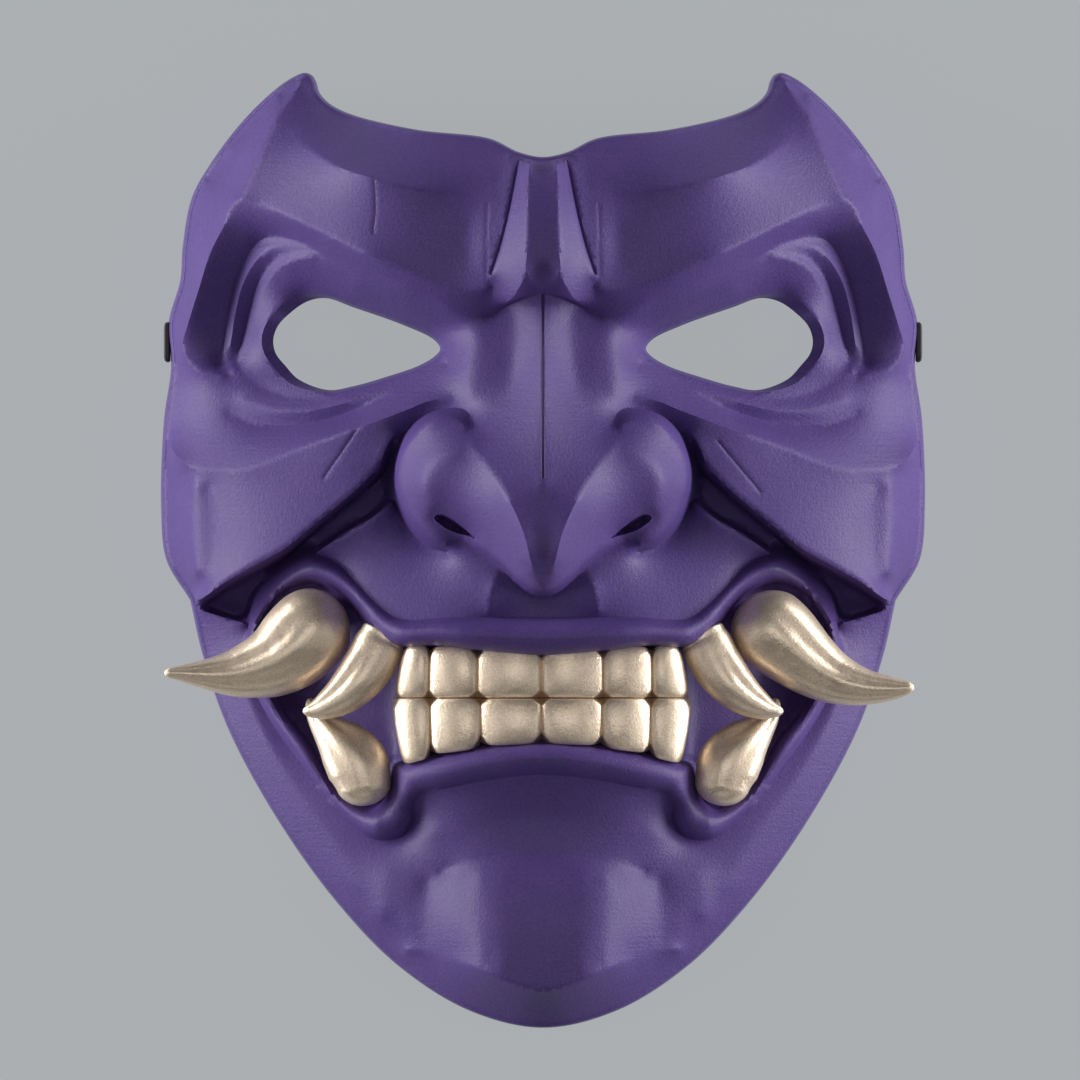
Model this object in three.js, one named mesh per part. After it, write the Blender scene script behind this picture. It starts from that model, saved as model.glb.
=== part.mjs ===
// A full-face samurai mask with a demon's face, lying on its rim with the face up.
// Millimetres. +Z is the way the face looks, +Y runs to the forehead, +X is the viewer's right.
// The rim lies in the plane z = 0, and the origin is under the middle of the mask.
import * as THREE from 'three';

const WALL = 3;                 // thickness of the moulded shell
const RIM_WIDTH = 3.6;          // flat rim that the mask rests on
const SIDE_DRAFT = 1.3;         // how far the side wall leans in from rim to front edge
const BROW_LIFT = 38;           // how far the rim rises in front of the rest plane over the brow
const BROW_LIFT_FROM = 75;      // y at which that rise begins
const CHIN_LIFT = 22;           // the same under the chin
const CHIN_LIFT_FROM = -32;
const CROWN = 0.012;            // bulge of the skin between two carved lines, per mm
const STEP = 6.4;               // spacing of points on the broad forms
const FINE_STEP = 3;            // spacing of points on narrow forms
const BROAD_STEP = 4.8;         // spacing of points along the lines of broad forms
const NARROW_GAP = 1.35;        // least distance of a narrow form's point from any other
const BROAD_GAP = 1.65;         // the same for a broad form's point
const FILL_GAP = 3.97;          // the same for a free point between the lines
const SKIN_PASSES = 600;        // rounds in which the skin's free heights settle
const TOOTH_FACE = 63.5;        // height of the teeth's faces on the middle line
const TOOTH_CURVE = 0.0052;     // how fast they fall away to the sides, per mm
const EYE_MARGIN = 1.5;         // plain strip kept around an eye hole
const CLEARANCE = 0.4;          // gap between a tooth and the shell around it
const RECESS_WALL = 0.5;        // lean of the wall around the mouth
const MOUTH_FLOOR = 54;         // height of the mouth's floor on the middle line
const MOUTH_CURVE = 0.0078;     // how fast the floor falls away to the sides, per mm
const BITE_Y = -36.8;           // where the two rows of teeth meet
const LUG_FACE = 94.9;          // distance of a strap tab's outer face from the middle plane
const LUG_Y = 52;
const LUG_Z = 9.5;
const LUG = { length: 10, height: 13, thickness: 0.8, corner: 2 };
const VIOLET = 0x5f4b8b;
const CHAMPAGNE = 0xcdbba0;
const DARK_STRAP = 0x2a2420;

// The right half of the edge, as three stretches with a corner between them: x, y and the
// height at which the front face begins.
const EDGE = {
  brow: [[0, 98.1, 67], [6, 99.3, 65], [13.4, 102.7, 61], [31.3, 104.9, 54], [48.5, 109.1, 39],
    [53.6, 111.8, 35], [55.9, 114.4, 33], [56.6, 116.8, 32]],
  temple: [[56.6, 116.8, 32], [57.6, 118.6, 31.5], [59.5, 119.4, 31], [62, 118.6, 30],
    [66.4, 115.8, 29], [74.7, 108.1, 26], [83, 97.3, 23.5], [88, 88.3, 21], [90.3, 76, 20],
    [90.9, 67.6, 20], [93.8, 57, 20], [93.2, 45.9, 22], [95, 32.5, 22], [95.7, 10.4, 20],
    [94.4, -2.4, 20], [88.4, -12.6, 22]],
  jaw: [[88.4, -12.6, 22], [85.2, -26.6, 20], [78.6, -45.4, 23], [65.9, -68.4, 28], [51.4, -88.4, 33],
    [36.3, -103.9, 38], [18, -115.3, 46], [0, -119.4, 50]],
};

// The eye hole at the front face, and the smaller see-through hole behind it.
const EYE_FRONT = [[25, 50, 55], [26.8, 53, 53.5], [34.5, 56.6, 51.5], [47.3, 61.2, 47], [54.3, 63.6, 44],
  [60, 63.4, 40], [65.8, 60.6, 39.5], [68.9, 56.8, 38], [70.2, 52.6, 37], [69.6, 49.2, 37],
  [66.4, 44.7, 38.6], [62.5, 41.3, 41], [53.6, 39.2, 46], [47.3, 40.1, 48.5], [39, 42.4, 51.5],
  [30.7, 45.3, 54], [26.3, 47.8, 55.5]];
const EYE_BACK = [[25.6, 50.1], [27.2, 52.4], [34.7, 56], [47.3, 60.5], [54.1, 62.8], [58.8, 62],
  [63.2, 59], [66.2, 55.8], [67.3, 52.3], [66.7, 49.1], [64.3, 46], [61, 42.6], [53.6, 39.9],
  [47.4, 40.8], [39.2, 43.1], [31, 45.9], [26.8, 48.4]];

// The right half of the mouth's opening, from the middle of the upper lip round to the middle of
// the lower one.
const MOUTH = [[0, -26, 65], [16, -24.8, 64.5], [26.5, -23.6, 62], [34.5, -24, 58], [37.6, -23.3, 56],
  [43.6, -18.5, 52], [46.5, -14.8, 49.5], [51.4, -10, 46], [57.8, -7.5, 43], [64.2, -9.4, 38.8],
  [68.7, -14, 34.5], [71.5, -21.5, 30], [67.4, -35.8, 31], [65.4, -40.1, 32], [58.9, -48, 34.5],
  [52.1, -60, 38], [43.6, -65, 42], [39.6, -62.6, 44.5], [38.1, -59, 46.5], [36.8, -53.8, 49.5],
  [34.5, -53, 51.5], [25.8, -51, 56.5], [13, -48.8, 60.5], [0, -47.8, 61.5]];

// The carved lines of the right half: ridges, creases and the edges of planes, each with its height.
const BROAD_LINES = {
  foreheadEdge: [[66.6, 107.8, 38.5], [63.4, 104.1, 42.5], [58.4, 100.1, 50], [51.5, 95.6, 60],
    [43.5, 92.7, 67], [33.6, 90.2, 69.2], [23.6, 88.7, 69.4], [17.6, 87.4, 70.4], [13.2, 86.4, 72]],
  hornEdge: [[66.6, 107.8, 38.5], [62.8, 112.6, 35.5], [60.2, 117, 33]],
  templeEdge: [[66.6, 107.8, 38.5], [70.5, 98, 43.5], [75.2, 87.4, 45.5]],
  outerTemple: [[66.4, 113.2, 32], [74.4, 104.4, 30.5], [81, 97.6, 28], [85.2, 90, 25.5], [87, 83, 24],
    [88.2, 76, 23]],
  frameRidge: [[13.6, 65.4, 73], [18.5, 64.4, 71.2], [28.1, 67, 70.2], [34.5, 69.5, 69.8],
    [42, 72.8, 68.4], [47.3, 75.3, 65.5], [60, 81.6, 56.5], [70.8, 86.4, 47.8], [75.2, 87.4, 45.5],
    [77.6, 85.7, 43.5], [79.2, 81.6, 42], [83, 74, 39], [86.1, 64.4, 36], [88.7, 56.1, 32.5],
    [90, 51, 30.5], [89, 47.8, 30.5], [85.5, 44.7, 32], [80, 43.5, 34]],
  frameInner: [[9, 60.6, 66], [12.8, 58.4, 65], [16.6, 57.8, 65.5], [21.8, 59.3, 66], [28.1, 63.2, 67],
    [34.5, 64.8, 65], [42.5, 67.7, 61.5], [51.8, 71.8, 55.8], [59.7, 76, 49.6], [64, 77.6, 45.8],
    [68.2, 78, 41.8], [71.1, 76.8, 39], [73.6, 73.6, 36.8], [76.8, 66.4, 33.4], [79, 57, 30.4],
    [80.2, 50, 29.6], [80.6, 46, 30.4]],
  lowerLid: [[77.3, 44.8, 34], [69.5, 40.5, 37.5], [60, 38, 43.5], [47.3, 38.6, 50.5],
    [34.5, 41.6, 55.2], [24, 46.5, 58.5]],
  lidCrease: [[75.3, 37.6, 37], [66.4, 34.8, 42.8], [58.8, 34.6, 47], [49.8, 36.4, 51],
    [38.3, 39.6, 54.6]],
  cheekbone: [[93, 26, 27], [91, 23.1, 32.5], [88, 20.9, 36], [79.1, 19.9, 43], [72.8, 20.3, 47.5],
    [60, 25.4, 54], [47.3, 29.8, 60], [34.5, 34.6, 63], [28.1, 37.1, 64], [19, 37.6, 66]],
  jawTop: [[87, -14.6, 22], [80, -16.8, 25], [74.9, -18.2, 27.5]],
  bridgeMiddle: [[0, 63.8, 71.5], [0, 55, 74], [0, 45, 79], [0, 35, 84], [0, 25, 89], [0, 17, 92.5]],
  bridgeSide: [[7, 58, 67.8], [7.2, 50, 69.2], [7.4, 43, 71.2], [11.3, 32.5, 76], [16.3, 27.4, 78.5]],
  chinCrease: [[0, -75.5, 58], [8.3, -75.8, 57.6], [18.3, -77.2, 54.8], [25.6, -80.2, 49.8]],
  underEdge: [[0, -109.5, 63.8], [7, -107.6, 63.5], [12.5, -105.4, 62.4], [17.5, -103.6, 58.6],
    [24, -101.3, 51.2], [29, -100, 46.8], [34, -99.8, 44.4], [38.4, -100.4, 40.6]],
  noseSide: [[13.2, 50.7, 67.2], [16, 42, 69.2], [17, 37.2, 70.2]],
  cheekSide: [[87, 16, 37.4], [87, 4, 37], [86.6, -6, 37]],
  wingCrest: [[20.5, 25, 79.5], [26, 22, 79.5], [29.5, 17, 77], [28, 11, 74.5]],
  jawMiddle: [[74.2, -22, 28], [75, -32, 28], [70, -45, 30], [61.5, -60, 33.5], [52, -73, 37.5],
    [46, -84, 39.5]],
  underLip: [[0, -66, 57], [14, -67.5, 56.4], [26, -70, 52.5], [31, -72, 48]],
  chinMiddle: [[0, -80.5, 61], [0, -92, 63.6], [0, -105, 64]],
  chinFlat: [[10, -82, 61], [10, -92, 63.2], [10, -104.6, 63.2]],
  chinFoot: [[29, -82.5, 47.6], [30, -92, 47.6], [29.8, -99, 46.4]],
  lobeSide: [[39, -82, 45.6], [40, -91, 43]],
  browUnder: [[18.6, 53, 63.5], [24, 56, 60], [34.5, 60, 57.5], [47.3, 65.5, 54]],
  lobeValley: [[0, 17, 92.2], [0, 9, 93.2], [0, 3, 94], [0, -3, 93.6], [0, -7, 90.2]],
};
const NARROW_LINES = {
  plateEdge: [[40.9, 20.6, 61], [47.3, 14.3, 59.5], [56.2, 6.9, 56], [64.6, 0.2, 52], [70.2, -2.9, 49],
    [75.3, -5.7, 46], [79.9, -8.4, 42.5], [85.3, -12.2, 37], [87, -12.4, 32]],
  foldFloor: [[37, 27.2, 56], [38.7, 21.6, 49], [40, 18.6, 44], [46, 13, 40], [55.1, 5.5, 36],
    [63.6, -1.5, 30], [68.7, -4.6, 24], [74.1, -7.4, 18], [78.8, -10.1, 14], [83.9, -13.3, 14.5]],
  foldFoot: [[39.5, 15.4, 42], [40.4, 11.8, 41], [43.6, 9.1, 39], [49.2, 5.9, 38], [56.6, 1, 34]],
  pocketFoot: [[70, -7.2, 20], [73.4, -11.5, 15], [75.2, -16.4, 13], [80.2, -15.2, 12],
    [83.6, -14.1, 14.5]],
  muzzleEdge: [[37.9, 11.6, 56], [42.8, 7.8, 55.5], [48.5, 4.6, 52.5], [56, -0.4, 47]],
  glabellaCrest: [[3.5, 97.6, 71.5], [3.7, 85, 80], [3.9, 75, 82.5], [4.2, 68.6, 82.5], [0.02, 64.4, 76]],
  wedgeCrease: [[5.7, 97.5, 68], [8, 84, 75], [10.4, 75, 75.4], [12.9, 67.6, 74.2]],
  patchEdge: [[8, 98.4, 65.8], [10.8, 93, 68.6], [12.9, 86.2, 72.2], [13.4, 78, 74], [13.6, 70, 74]],
  wingFoot: [[17.4, 31.4, 73], [18.4, 34, 69], [20.2, 35.2, 66.5], [23, 35.4, 64.5], [29.4, 33.8, 61.5],
    [34.9, 28.9, 58], [37.4, 23.1, 54], [38.2, 16.8, 50], [36.9, 11.3, 51], [33.5, 5.2, 53],
    [28.3, 0.7, 56], [23.6, -0.6, 59]],
  wingShoulder: [[19.2, 30.6, 75.5], [20.6, 32.2, 74], [23, 32.8, 73], [28.4, 31.4, 72], [33, 27.2, 69],
    [35.5, 22.6, 67], [36.1, 17, 66], [34.7, 12.2, 66], [31.5, 7, 67], [27.1, 2.8, 68], [23.8, 1.5, 68]],
  nostril: [[25.5, 7.4, 68], [22.5, 6, 66.5], [19, 4.2, 67.5]],
  lobeRidge: [[17.6, 25.9, 80], [11.9, 18.4, 87.5], [6.6, 8.7, 94.6], [4.4, 3, 96.6], [3.2, -2, 95.8],
    [2.1, -5.6, 92.6]],
  lobeLow: [[19, 4.6, 72], [14.5, 1, 76], [9.6, -3.4, 81], [5.6, -7.2, 85], [2.4, -9.4, 87],
    [0, -9.9, 87.5]],
  lobeFoot: [[20.5, 1.5, 66], [16, -0.8, 66.5], [10.6, -4.6, 67], [6.5, -8.6, 65], [3.2, -11, 64],
    [0, -11.8, 63.5]],
  philtrum: [[10.6, -4.6, 67], [12.4, -9, 67.5], [13.5, -14.9, 65.8]],
  lipCrest: [[0, -21.2, 70], [13.7, -20.8, 69.6], [25, -20.2, 67], [35.4, -20.5, 62.8],
    [42.4, -16.4, 57.6], [49.4, -9.7, 53.8], [53.6, -6.6, 51], [57.8, -4.9, 48.4], [62.9, -6.5, 44.4],
    [67.2, -10.2, 39], [70.6, -15.4, 33.5]],
  lipCrease: [[0, -16.6, 64], [13.7, -16.7, 64], [24, -16.8, 62], [35.8, -17.1, 57], [40.9, -13.9, 54],
    [46, -8.8, 50.5], [51, -3.9, 46.5], [57.4, -1, 42], [62.5, -2.6, 37.5], [67.7, -7, 31],
    [71.5, -12, 24], [73.3, -16.4, 25], [73.8, -20, 27]],
  lowerLipCrest: [[0, -51.8, 66], [13, -52.9, 65], [25.3, -55.2, 61.4], [32.6, -57.2, 57],
    [35.2, -60.5, 53.7], [36, -65, 50], [39.2, -68, 48.2], [44, -68.4, 46.3], [51, -63.2, 43.4],
    [61.4, -48.2, 36.4], [68, -38.6, 33.8], [72.3, -28, 33]],
  lowerLipCrease: [[0, -55.9, 60], [13, -57.1, 59], [24.9, -59.5, 55.5], [30.2, -60.9, 52],
    [32.4, -63.8, 48.5], [32.6, -67.8, 45], [35.6, -71.6, 42.5], [42.3, -72, 41], [49.3, -66.6, 38.5],
    [61.4, -52, 33], [69, -41.1, 29.5], [74.5, -30, 28]],
  frameGroove: [[58.5, 74, 50.8], [63.8, 73.5, 45.4], [67, 72.2, 41.8], [69.4, 69.5, 38.6],
    [71.5, 65.6, 35.2], [73.6, 59, 32.2], [75.6, 51, 30.4], [77.2, 47, 31.2]],
};

const onMiddle = (p) => Math.abs(p[0]) < 0.01;
const mirror = (p) => [-p[0], p[1], p[2]];

// Points at an even spacing along a smooth curve through the given ones.
function sample(points, step) {
  const vectors = points.map((p) => new THREE.Vector3(...p));
  const curve = new THREE.CatmullRomCurve3(vectors, false, 'centripetal');
  const count = Math.max(1, Math.round(curve.getLength() / step));
  return curve.getSpacedPoints(count).map((v) => v.toArray());
}

// Points of a closed loop, the same number between each two given ones, so that two loops match.
function sampleLoop(points, perStretch) {
  const vectors = points.map((p) => new THREE.Vector3(p[0], p[1], p[2] ?? 0));
  const curve = new THREE.CatmullRomCurve3(vectors, true, 'centripetal');
  const count = points.length * perStretch;
  return Array.from({ length: count }, (_, i) => curve.getPoint(i / count).toArray());
}

// A closed loop from its right half, whose two ends lie on the middle line.
function closeLoop(half) {
  return [...half, ...half.slice(1, -1).reverse().map(mirror)];
}

// A loop moved to its left by the given distance, heights kept.
function shiftLoop(loop, distance) {
  return loop.map((p, i) => {
    const before = loop[(i + loop.length - 1) % loop.length];
    const after = loop[(i + 1) % loop.length];
    const length = Math.hypot(after[0] - before[0], after[1] - before[1]);
    const dx = (after[0] - before[0]) / length;
    const dy = (after[1] - before[1]) / length;
    return [p[0] - dy * distance, p[1] + dx * distance, p[2]];
  });
}

function inside(loop, x, y) {
  let odd = false;
  for (let i = 0, j = loop.length - 1; i < loop.length; j = i, i += 1) {
    const [xi, yi] = loop[i];
    const [xj, yj] = loop[j];
    if ((yi > y) !== (yj > y) && x < ((xj - xi) * (y - yi)) / (yj - yi) + xi) odd = !odd;
  }
  return odd;
}

// Distance in x and y from a point to the sides of a loop.
function gapTo(loop, p) {
  let least = Infinity;
  loop.forEach((a, i) => {
    const b = loop[(i + 1) % loop.length];
    const dx = b[0] - a[0];
    const dy = b[1] - a[1];
    const along = ((p[0] - a[0]) * dx + (p[1] - a[1]) * dy) / (dx * dx + dy * dy);
    const f = Math.min(1, Math.max(0, along));
    least = Math.min(least, Math.hypot(p[0] - a[0] - dx * f, p[1] - a[1] - dy * f));
  });
  return least;
}

// Delaunay triangulation in x and y, by adding one point at a time.
function triangulate(points) {
  const far = 5000;
  const all = [...points, [-far, -far], [far, -far], [0, far]];
  const n = points.length;
  const circle = (a, b, c) => {
    const [ax, ay] = all[a];
    const bx = all[b][0] - ax;
    const by = all[b][1] - ay;
    const cx = all[c][0] - ax;
    const cy = all[c][1] - ay;
    const d = 2 * (bx * cy - by * cx);
    const ux = (cy * (bx * bx + by * by) - by * (cx * cx + cy * cy)) / d;
    const uy = (bx * (cx * cx + cy * cy) - cx * (bx * bx + by * by)) / d;
    return { a, b, c, x: ax + ux, y: ay + uy, r2: ux * ux + uy * uy };
  };
  let triangles = [circle(n, n + 1, n + 2)];
  for (let i = 0; i < n; i += 1) {
    const [x, y] = all[i];
    const kept = [];
    const open = new Map();
    for (const t of triangles) {
      if ((t.x - x) ** 2 + (t.y - y) ** 2 >= t.r2) {
        kept.push(t);
        continue;
      }
      for (const [p, q] of [[t.a, t.b], [t.b, t.c], [t.c, t.a]]) {
        if (open.has(`${q},${p}`)) open.delete(`${q},${p}`);
        else open.set(`${p},${q}`, [p, q]);
      }
    }
    for (const [p, q] of open.values()) kept.push(circle(p, q, i));
    triangles = kept;
  }
  return triangles.filter((t) => t.a < n && t.b < n && t.c < n).map((t) => [t.a, t.b, t.c]);
}

// Heights of the free points: a skin stretched over the fixed ones, slightly blown up.
function stretchSkin(points, triangles, fixed) {
  const links = points.map(() => new Map());
  const area = new Float64Array(points.length);
  for (const t of triangles) {
    for (let k = 0; k < 3; k += 1) {
      const [a, b, c] = [t[k], t[(k + 1) % 3], t[(k + 2) % 3]];
      const ux = points[a][0] - points[c][0];
      const uy = points[a][1] - points[c][1];
      const vx = points[b][0] - points[c][0];
      const vy = points[b][1] - points[c][1];
      const cross = Math.abs(ux * vy - uy * vx);
      const weight = Math.min(5, Math.max(0.02, (ux * vx + uy * vy) / cross / 2));
      links[a].set(b, (links[a].get(b) ?? 0) + weight);
      links[b].set(a, (links[b].get(a) ?? 0) + weight);
      area[c] += cross / 6;
    }
  }
  const free = points.map((_, i) => i).filter((i) => !fixed[i] && links[i].size > 0);
  for (let pass = 0; pass < SKIN_PASSES; pass += 1) {
    for (const i of free) {
      let sum = CROWN * area[i];
      let total = 0;
      for (const [j, weight] of links[i]) {
        sum += weight * points[j][2];
        total += weight;
      }
      points[i][2] = sum / total;
    }
  }
}

// Heights of the back face: the lowest that a ball of the wall's thickness reaches under the front.
function hollowBack(points, triangles) {
  const cell = WALL;
  const grid = new Map();
  const key = (x, y) => `${Math.floor(x / cell)},${Math.floor(y / cell)}`;
  for (const t of triangles) {
    for (let k = 0; k < 3; k += 1) {
      const p = points[t[k]];
      const q = points[t[(k + 1) % 3]];
      const parts = Math.ceil(Math.hypot(p[0] - q[0], p[1] - q[1]) / 0.8);
      for (let s = 0; s < parts; s += 1) {
        const f = s / parts;
        const spot = [0, 1, 2].map((axis) => p[axis] + (q[axis] - p[axis]) * f);
        const name = key(spot[0], spot[1]);
        if (!grid.has(name)) grid.set(name, []);
        grid.get(name).push(spot);
      }
    }
  }
  return points.map(([x, y]) => {
    let lowest = Infinity;
    for (let i = -1; i <= 1; i += 1) {
      for (let j = -1; j <= 1; j += 1) {
        for (const s of grid.get(key(x + i * cell, y + j * cell)) ?? []) {
          const d2 = (s[0] - x) ** 2 + (s[1] - y) ** 2;
          if (d2 < WALL * WALL) lowest = Math.min(lowest, s[2] - Math.sqrt(WALL * WALL - d2));
        }
      }
    }
    return Math.max(lowest, 0.5);
  });
}

function meshOf(name, vertices, faces, material) {
  const geometry = new THREE.BufferGeometry();
  geometry.setAttribute('position', new THREE.Float32BufferAttribute(vertices.flat(), 3));
  geometry.setIndex(faces.flat());
  geometry.computeVertexNormals();
  const mesh = new THREE.Mesh(geometry, material);
  mesh.name = name;
  return mesh;
}

// Height of the rim: flat along the cheeks and temples, arched over the brow and under the chin.
function rimHeight([x, y]) {
  const brow = THREE.MathUtils.smoothstep(y, BROW_LIFT_FROM, BROW_LIFT_FROM + 30);
  const chin = THREE.MathUtils.clamp((CHIN_LIFT_FROM - y) / (119 + CHIN_LIFT_FROM), 0, 1);
  return BROW_LIFT * brow * Math.max(0, 1 - (x / 75) ** 2) + CHIN_LIFT * chin ** 1.5;
}

function mouthFloor(x) {
  return MOUTH_FLOOR - MOUTH_CURVE * x * x;
}

function buildShell(material) {
  const rightEdge = [];
  for (const stretch of Object.values(EDGE)) {
    const spaced = sample(stretch, STEP);
    rightEdge.push(...(stretch === EDGE.jaw ? spaced : spaced.slice(0, -1)));
  }
  const edge = closeLoop(rightEdge);
  const outer = edge.map((p) => [p[0], p[1], rimHeight(p)]);
  const crest = shiftLoop(edge, -SIDE_DRAFT);
  const inner = shiftLoop(edge, -RIM_WIDTH);
  const eyeFront = sampleLoop(EYE_FRONT, 3);
  const eyeBack = sampleLoop(EYE_BACK, 3);
  const mouth = closeLoop(sample(MOUTH, FINE_STEP));
  const floor = shiftLoop(mouth, -RECESS_WALL).map((p) => [p[0], p[1], mouthFloor(p[0])]);

  const points = [];
  const fixed = [];
  const add = (list, isFixed) => list.map((p) => {
    points.push([...p]);
    fixed.push(isFixed);
    return points.length - 1;
  });
  const outerIndex = add(outer, true);
  add(crest, true);
  const innerIndex = add(inner, false);
  const eyes = [1, -1].map((side) => ({
    front: add(eyeFront.map((p) => [side * p[0], p[1], p[2]]), true),
    back: add(eyeBack.map((p) => [side * p[0], p[1], p[2]]), true),
  }));
  add(mouth, true);
  add(floor, true);

  const crowded = (p, gap) => points.some((q) => Math.hypot(p[0] - q[0], p[1] - q[1]) < gap)
    || !inside(inner, p[0], p[1]) || gapTo(inner, p) < STEP / 2
    || inside(eyeFront, p[0], p[1]) || gapTo(eyeFront, p) < EYE_MARGIN;
  const addBothSides = (p, gap, isFixed) => {
    if (crowded(p, gap)) return;
    add([p], isFixed);
    if (!onMiddle(p)) add([mirror(p)], isFixed);
  };
  for (const line of Object.values(NARROW_LINES)) {
    sample(line, FINE_STEP).forEach((p) => addBothSides(p, NARROW_GAP, true));
  }
  for (const line of Object.values(BROAD_LINES)) {
    sample(line, BROAD_STEP).forEach((p) => addBothSides(p, BROAD_GAP, true));
  }
  const rowHeight = STEP * Math.sin(Math.PI / 3);
  const rows = Math.ceil(120 / rowHeight);
  for (let row = -rows; row <= rows; row += 1) {
    const shift = row % 2 === 0 ? 0 : STEP / 2;
    for (let x = shift; x < 96; x += STEP) {
      addBothSides([x, row * rowHeight, 40], FILL_GAP, false);
    }
  }

  const middle = (t, axis) => (points[t[0]][axis] + points[t[1]][axis] + points[t[2]][axis]) / 3;
  const triangles = triangulate(points);
  const front = triangles.filter((t) => {
    const [x, y] = [Math.abs(middle(t, 0)), middle(t, 1)];
    return inside(outer, x, y) && !inside(eyeFront, x, y);
  });
  const back = triangles.filter((t) => {
    const [x, y] = [Math.abs(middle(t, 0)), middle(t, 1)];
    return inside(inner, x, y) && !inside(eyeBack, x, y);
  });
  stretchSkin(points, front, fixed);
  const depth = hollowBack(points, front);
  innerIndex.forEach((i, k) => { depth[i] = rimHeight(edge[k]); });

  const frontCount = points.length;
  const vertices = [...points, ...points.map((p, i) => [p[0], p[1], depth[i]])];
  const under = (i) => i + frontCount;
  const faces = [...front, ...back.map(([a, b, c]) => [under(a), under(c), under(b)])];
  outerIndex.forEach((_, i) => {
    const j = (i + 1) % outerIndex.length;
    faces.push([outerIndex[i], outerIndex[j], under(innerIndex[j])]);
    faces.push([outerIndex[i], under(innerIndex[j]), under(innerIndex[i])]);
  });
  eyes.forEach((eye, side) => {
    eye.front.forEach((_, i) => {
      const j = (i + 1) % eye.front.length;
      const quad = [eye.front[i], eye.front[j], under(eye.back[j]), under(eye.back[i])];
      if (side === 0) quad.reverse();
      faces.push([quad[0], quad[1], quad[2]], [quad[0], quad[2], quad[3]]);
    });
  });
  return meshOf('mask_shell', vertices, faces, material);
}

// A bar of six teeth, as a grid of rows from one edge to the other, with a flat back.
function buildTeeth(name, joints, edgeY, biteY, material) {
  const columns = [];
  const sides = [...joints.slice(1).reverse().map((x) => -x), ...joints];
  for (let i = 0; i + 1 < sides.length; i += 1) {
    const width = sides[i + 1] - sides[i];
    columns.push({ x: sides[i] + (i === 0 ? 0 : 0.01), dip: 2.2 });
    columns.push({ x: sides[i] + width * 0.2, dip: 0.5 });
    columns.push({ x: sides[i] + width * 0.5, dip: 0 });
    columns.push({ x: sides[i] + width * 0.8, dip: 0.5 });
  }
  columns.push({ x: sides[sides.length - 1], dip: 2.2 });
  const rows = [
    { f: 0, dip: 2.4 }, { f: 0.15, dip: 0.6 }, { f: 0.5, dip: 0 }, { f: 0.85, dip: 0.6 }, { f: 1, dip: 2.2 },
  ];
  const vertices = [];
  for (const isBack of [false, true]) {
    for (const column of columns) {
      for (const row of rows) {
        const y = edgeY(column.x) + (biteY - edgeY(column.x)) * row.f;
        const face = TOOTH_FACE - TOOTH_CURVE * column.x ** 2 - column.dip - row.dip;
        vertices.push([column.x, y, isBack ? mouthFloor(column.x) + CLEARANCE : face]);
      }
    }
  }
  const per = rows.length;
  const half = columns.length * per;
  const faces = [];
  const quad = (a, b, c, d) => faces.push([a, b, c], [a, c, d]);
  const flip = edgeY(0) > biteY;
  const side = (a, b, c, d) => (flip ? quad(d, c, b, a) : quad(a, b, c, d));
  for (let c = 0; c + 1 < columns.length; c += 1) {
    for (let r = 0; r + 1 < per; r += 1) {
      const a = c * per + r;
      side(a, a + per, a + per + 1, a + 1);
      side(half + a, half + a + 1, half + a + per + 1, half + a + per);
    }
    const first = c * per;
    const last = first + per - 1;
    side(first, half + first, half + first + per, first + per);
    side(last, last + per, half + last + per, half + last);
  }
  for (let r = 0; r + 1 < per; r += 1) {
    const end = (columns.length - 1) * per + r;
    side(r, r + 1, half + r + 1, half + r);
    side(end, half + end, half + end + 1, end + 1);
  }
  return meshOf(name, vertices, faces, material);
}

// A horn through its stations: place, half width across and half depth. Both ends close in a point.
function buildHorn(name, stations, sides, mirrored, material) {
  const sign = mirrored ? -1 : 1;
  const places = stations.map((s) => new THREE.Vector3(sign * s.at[0], s.at[1], s.at[2]));
  const up = new THREE.Vector3(0, 0, 1);
  const vertices = [places[0].toArray()];
  for (let i = 1; i + 1 < stations.length; i += 1) {
    const along = places[i + 1].clone().sub(places[i - 1]).normalize();
    const across = new THREE.Vector3().crossVectors(up, along).normalize();
    const lift = new THREE.Vector3().crossVectors(along, across);
    for (let k = 0; k < sides; k += 1) {
      const angle = (k / sides) * Math.PI * 2;
      vertices.push(places[i].clone()
        .addScaledVector(across, Math.cos(angle) * stations[i].wide)
        .addScaledVector(lift, Math.sin(angle) * stations[i].deep).toArray());
    }
  }
  vertices.push(places[places.length - 1].toArray());
  const faces = [];
  const rings = stations.length - 2;
  for (let k = 0; k < sides; k += 1) {
    const next = (k + 1) % sides;
    faces.push([0, 1 + next, 1 + k]);
    for (let r = 0; r + 1 < rings; r += 1) {
      const a = 1 + r * sides;
      const b = a + sides;
      faces.push([a + k, a + next, b + next], [a + k, b + next, b + k]);
    }
    const last = 1 + (rings - 1) * sides;
    faces.push([last + k, last + next, vertices.length - 1]);
  }
  return meshOf(name, vertices, faces, material);
}

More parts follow.
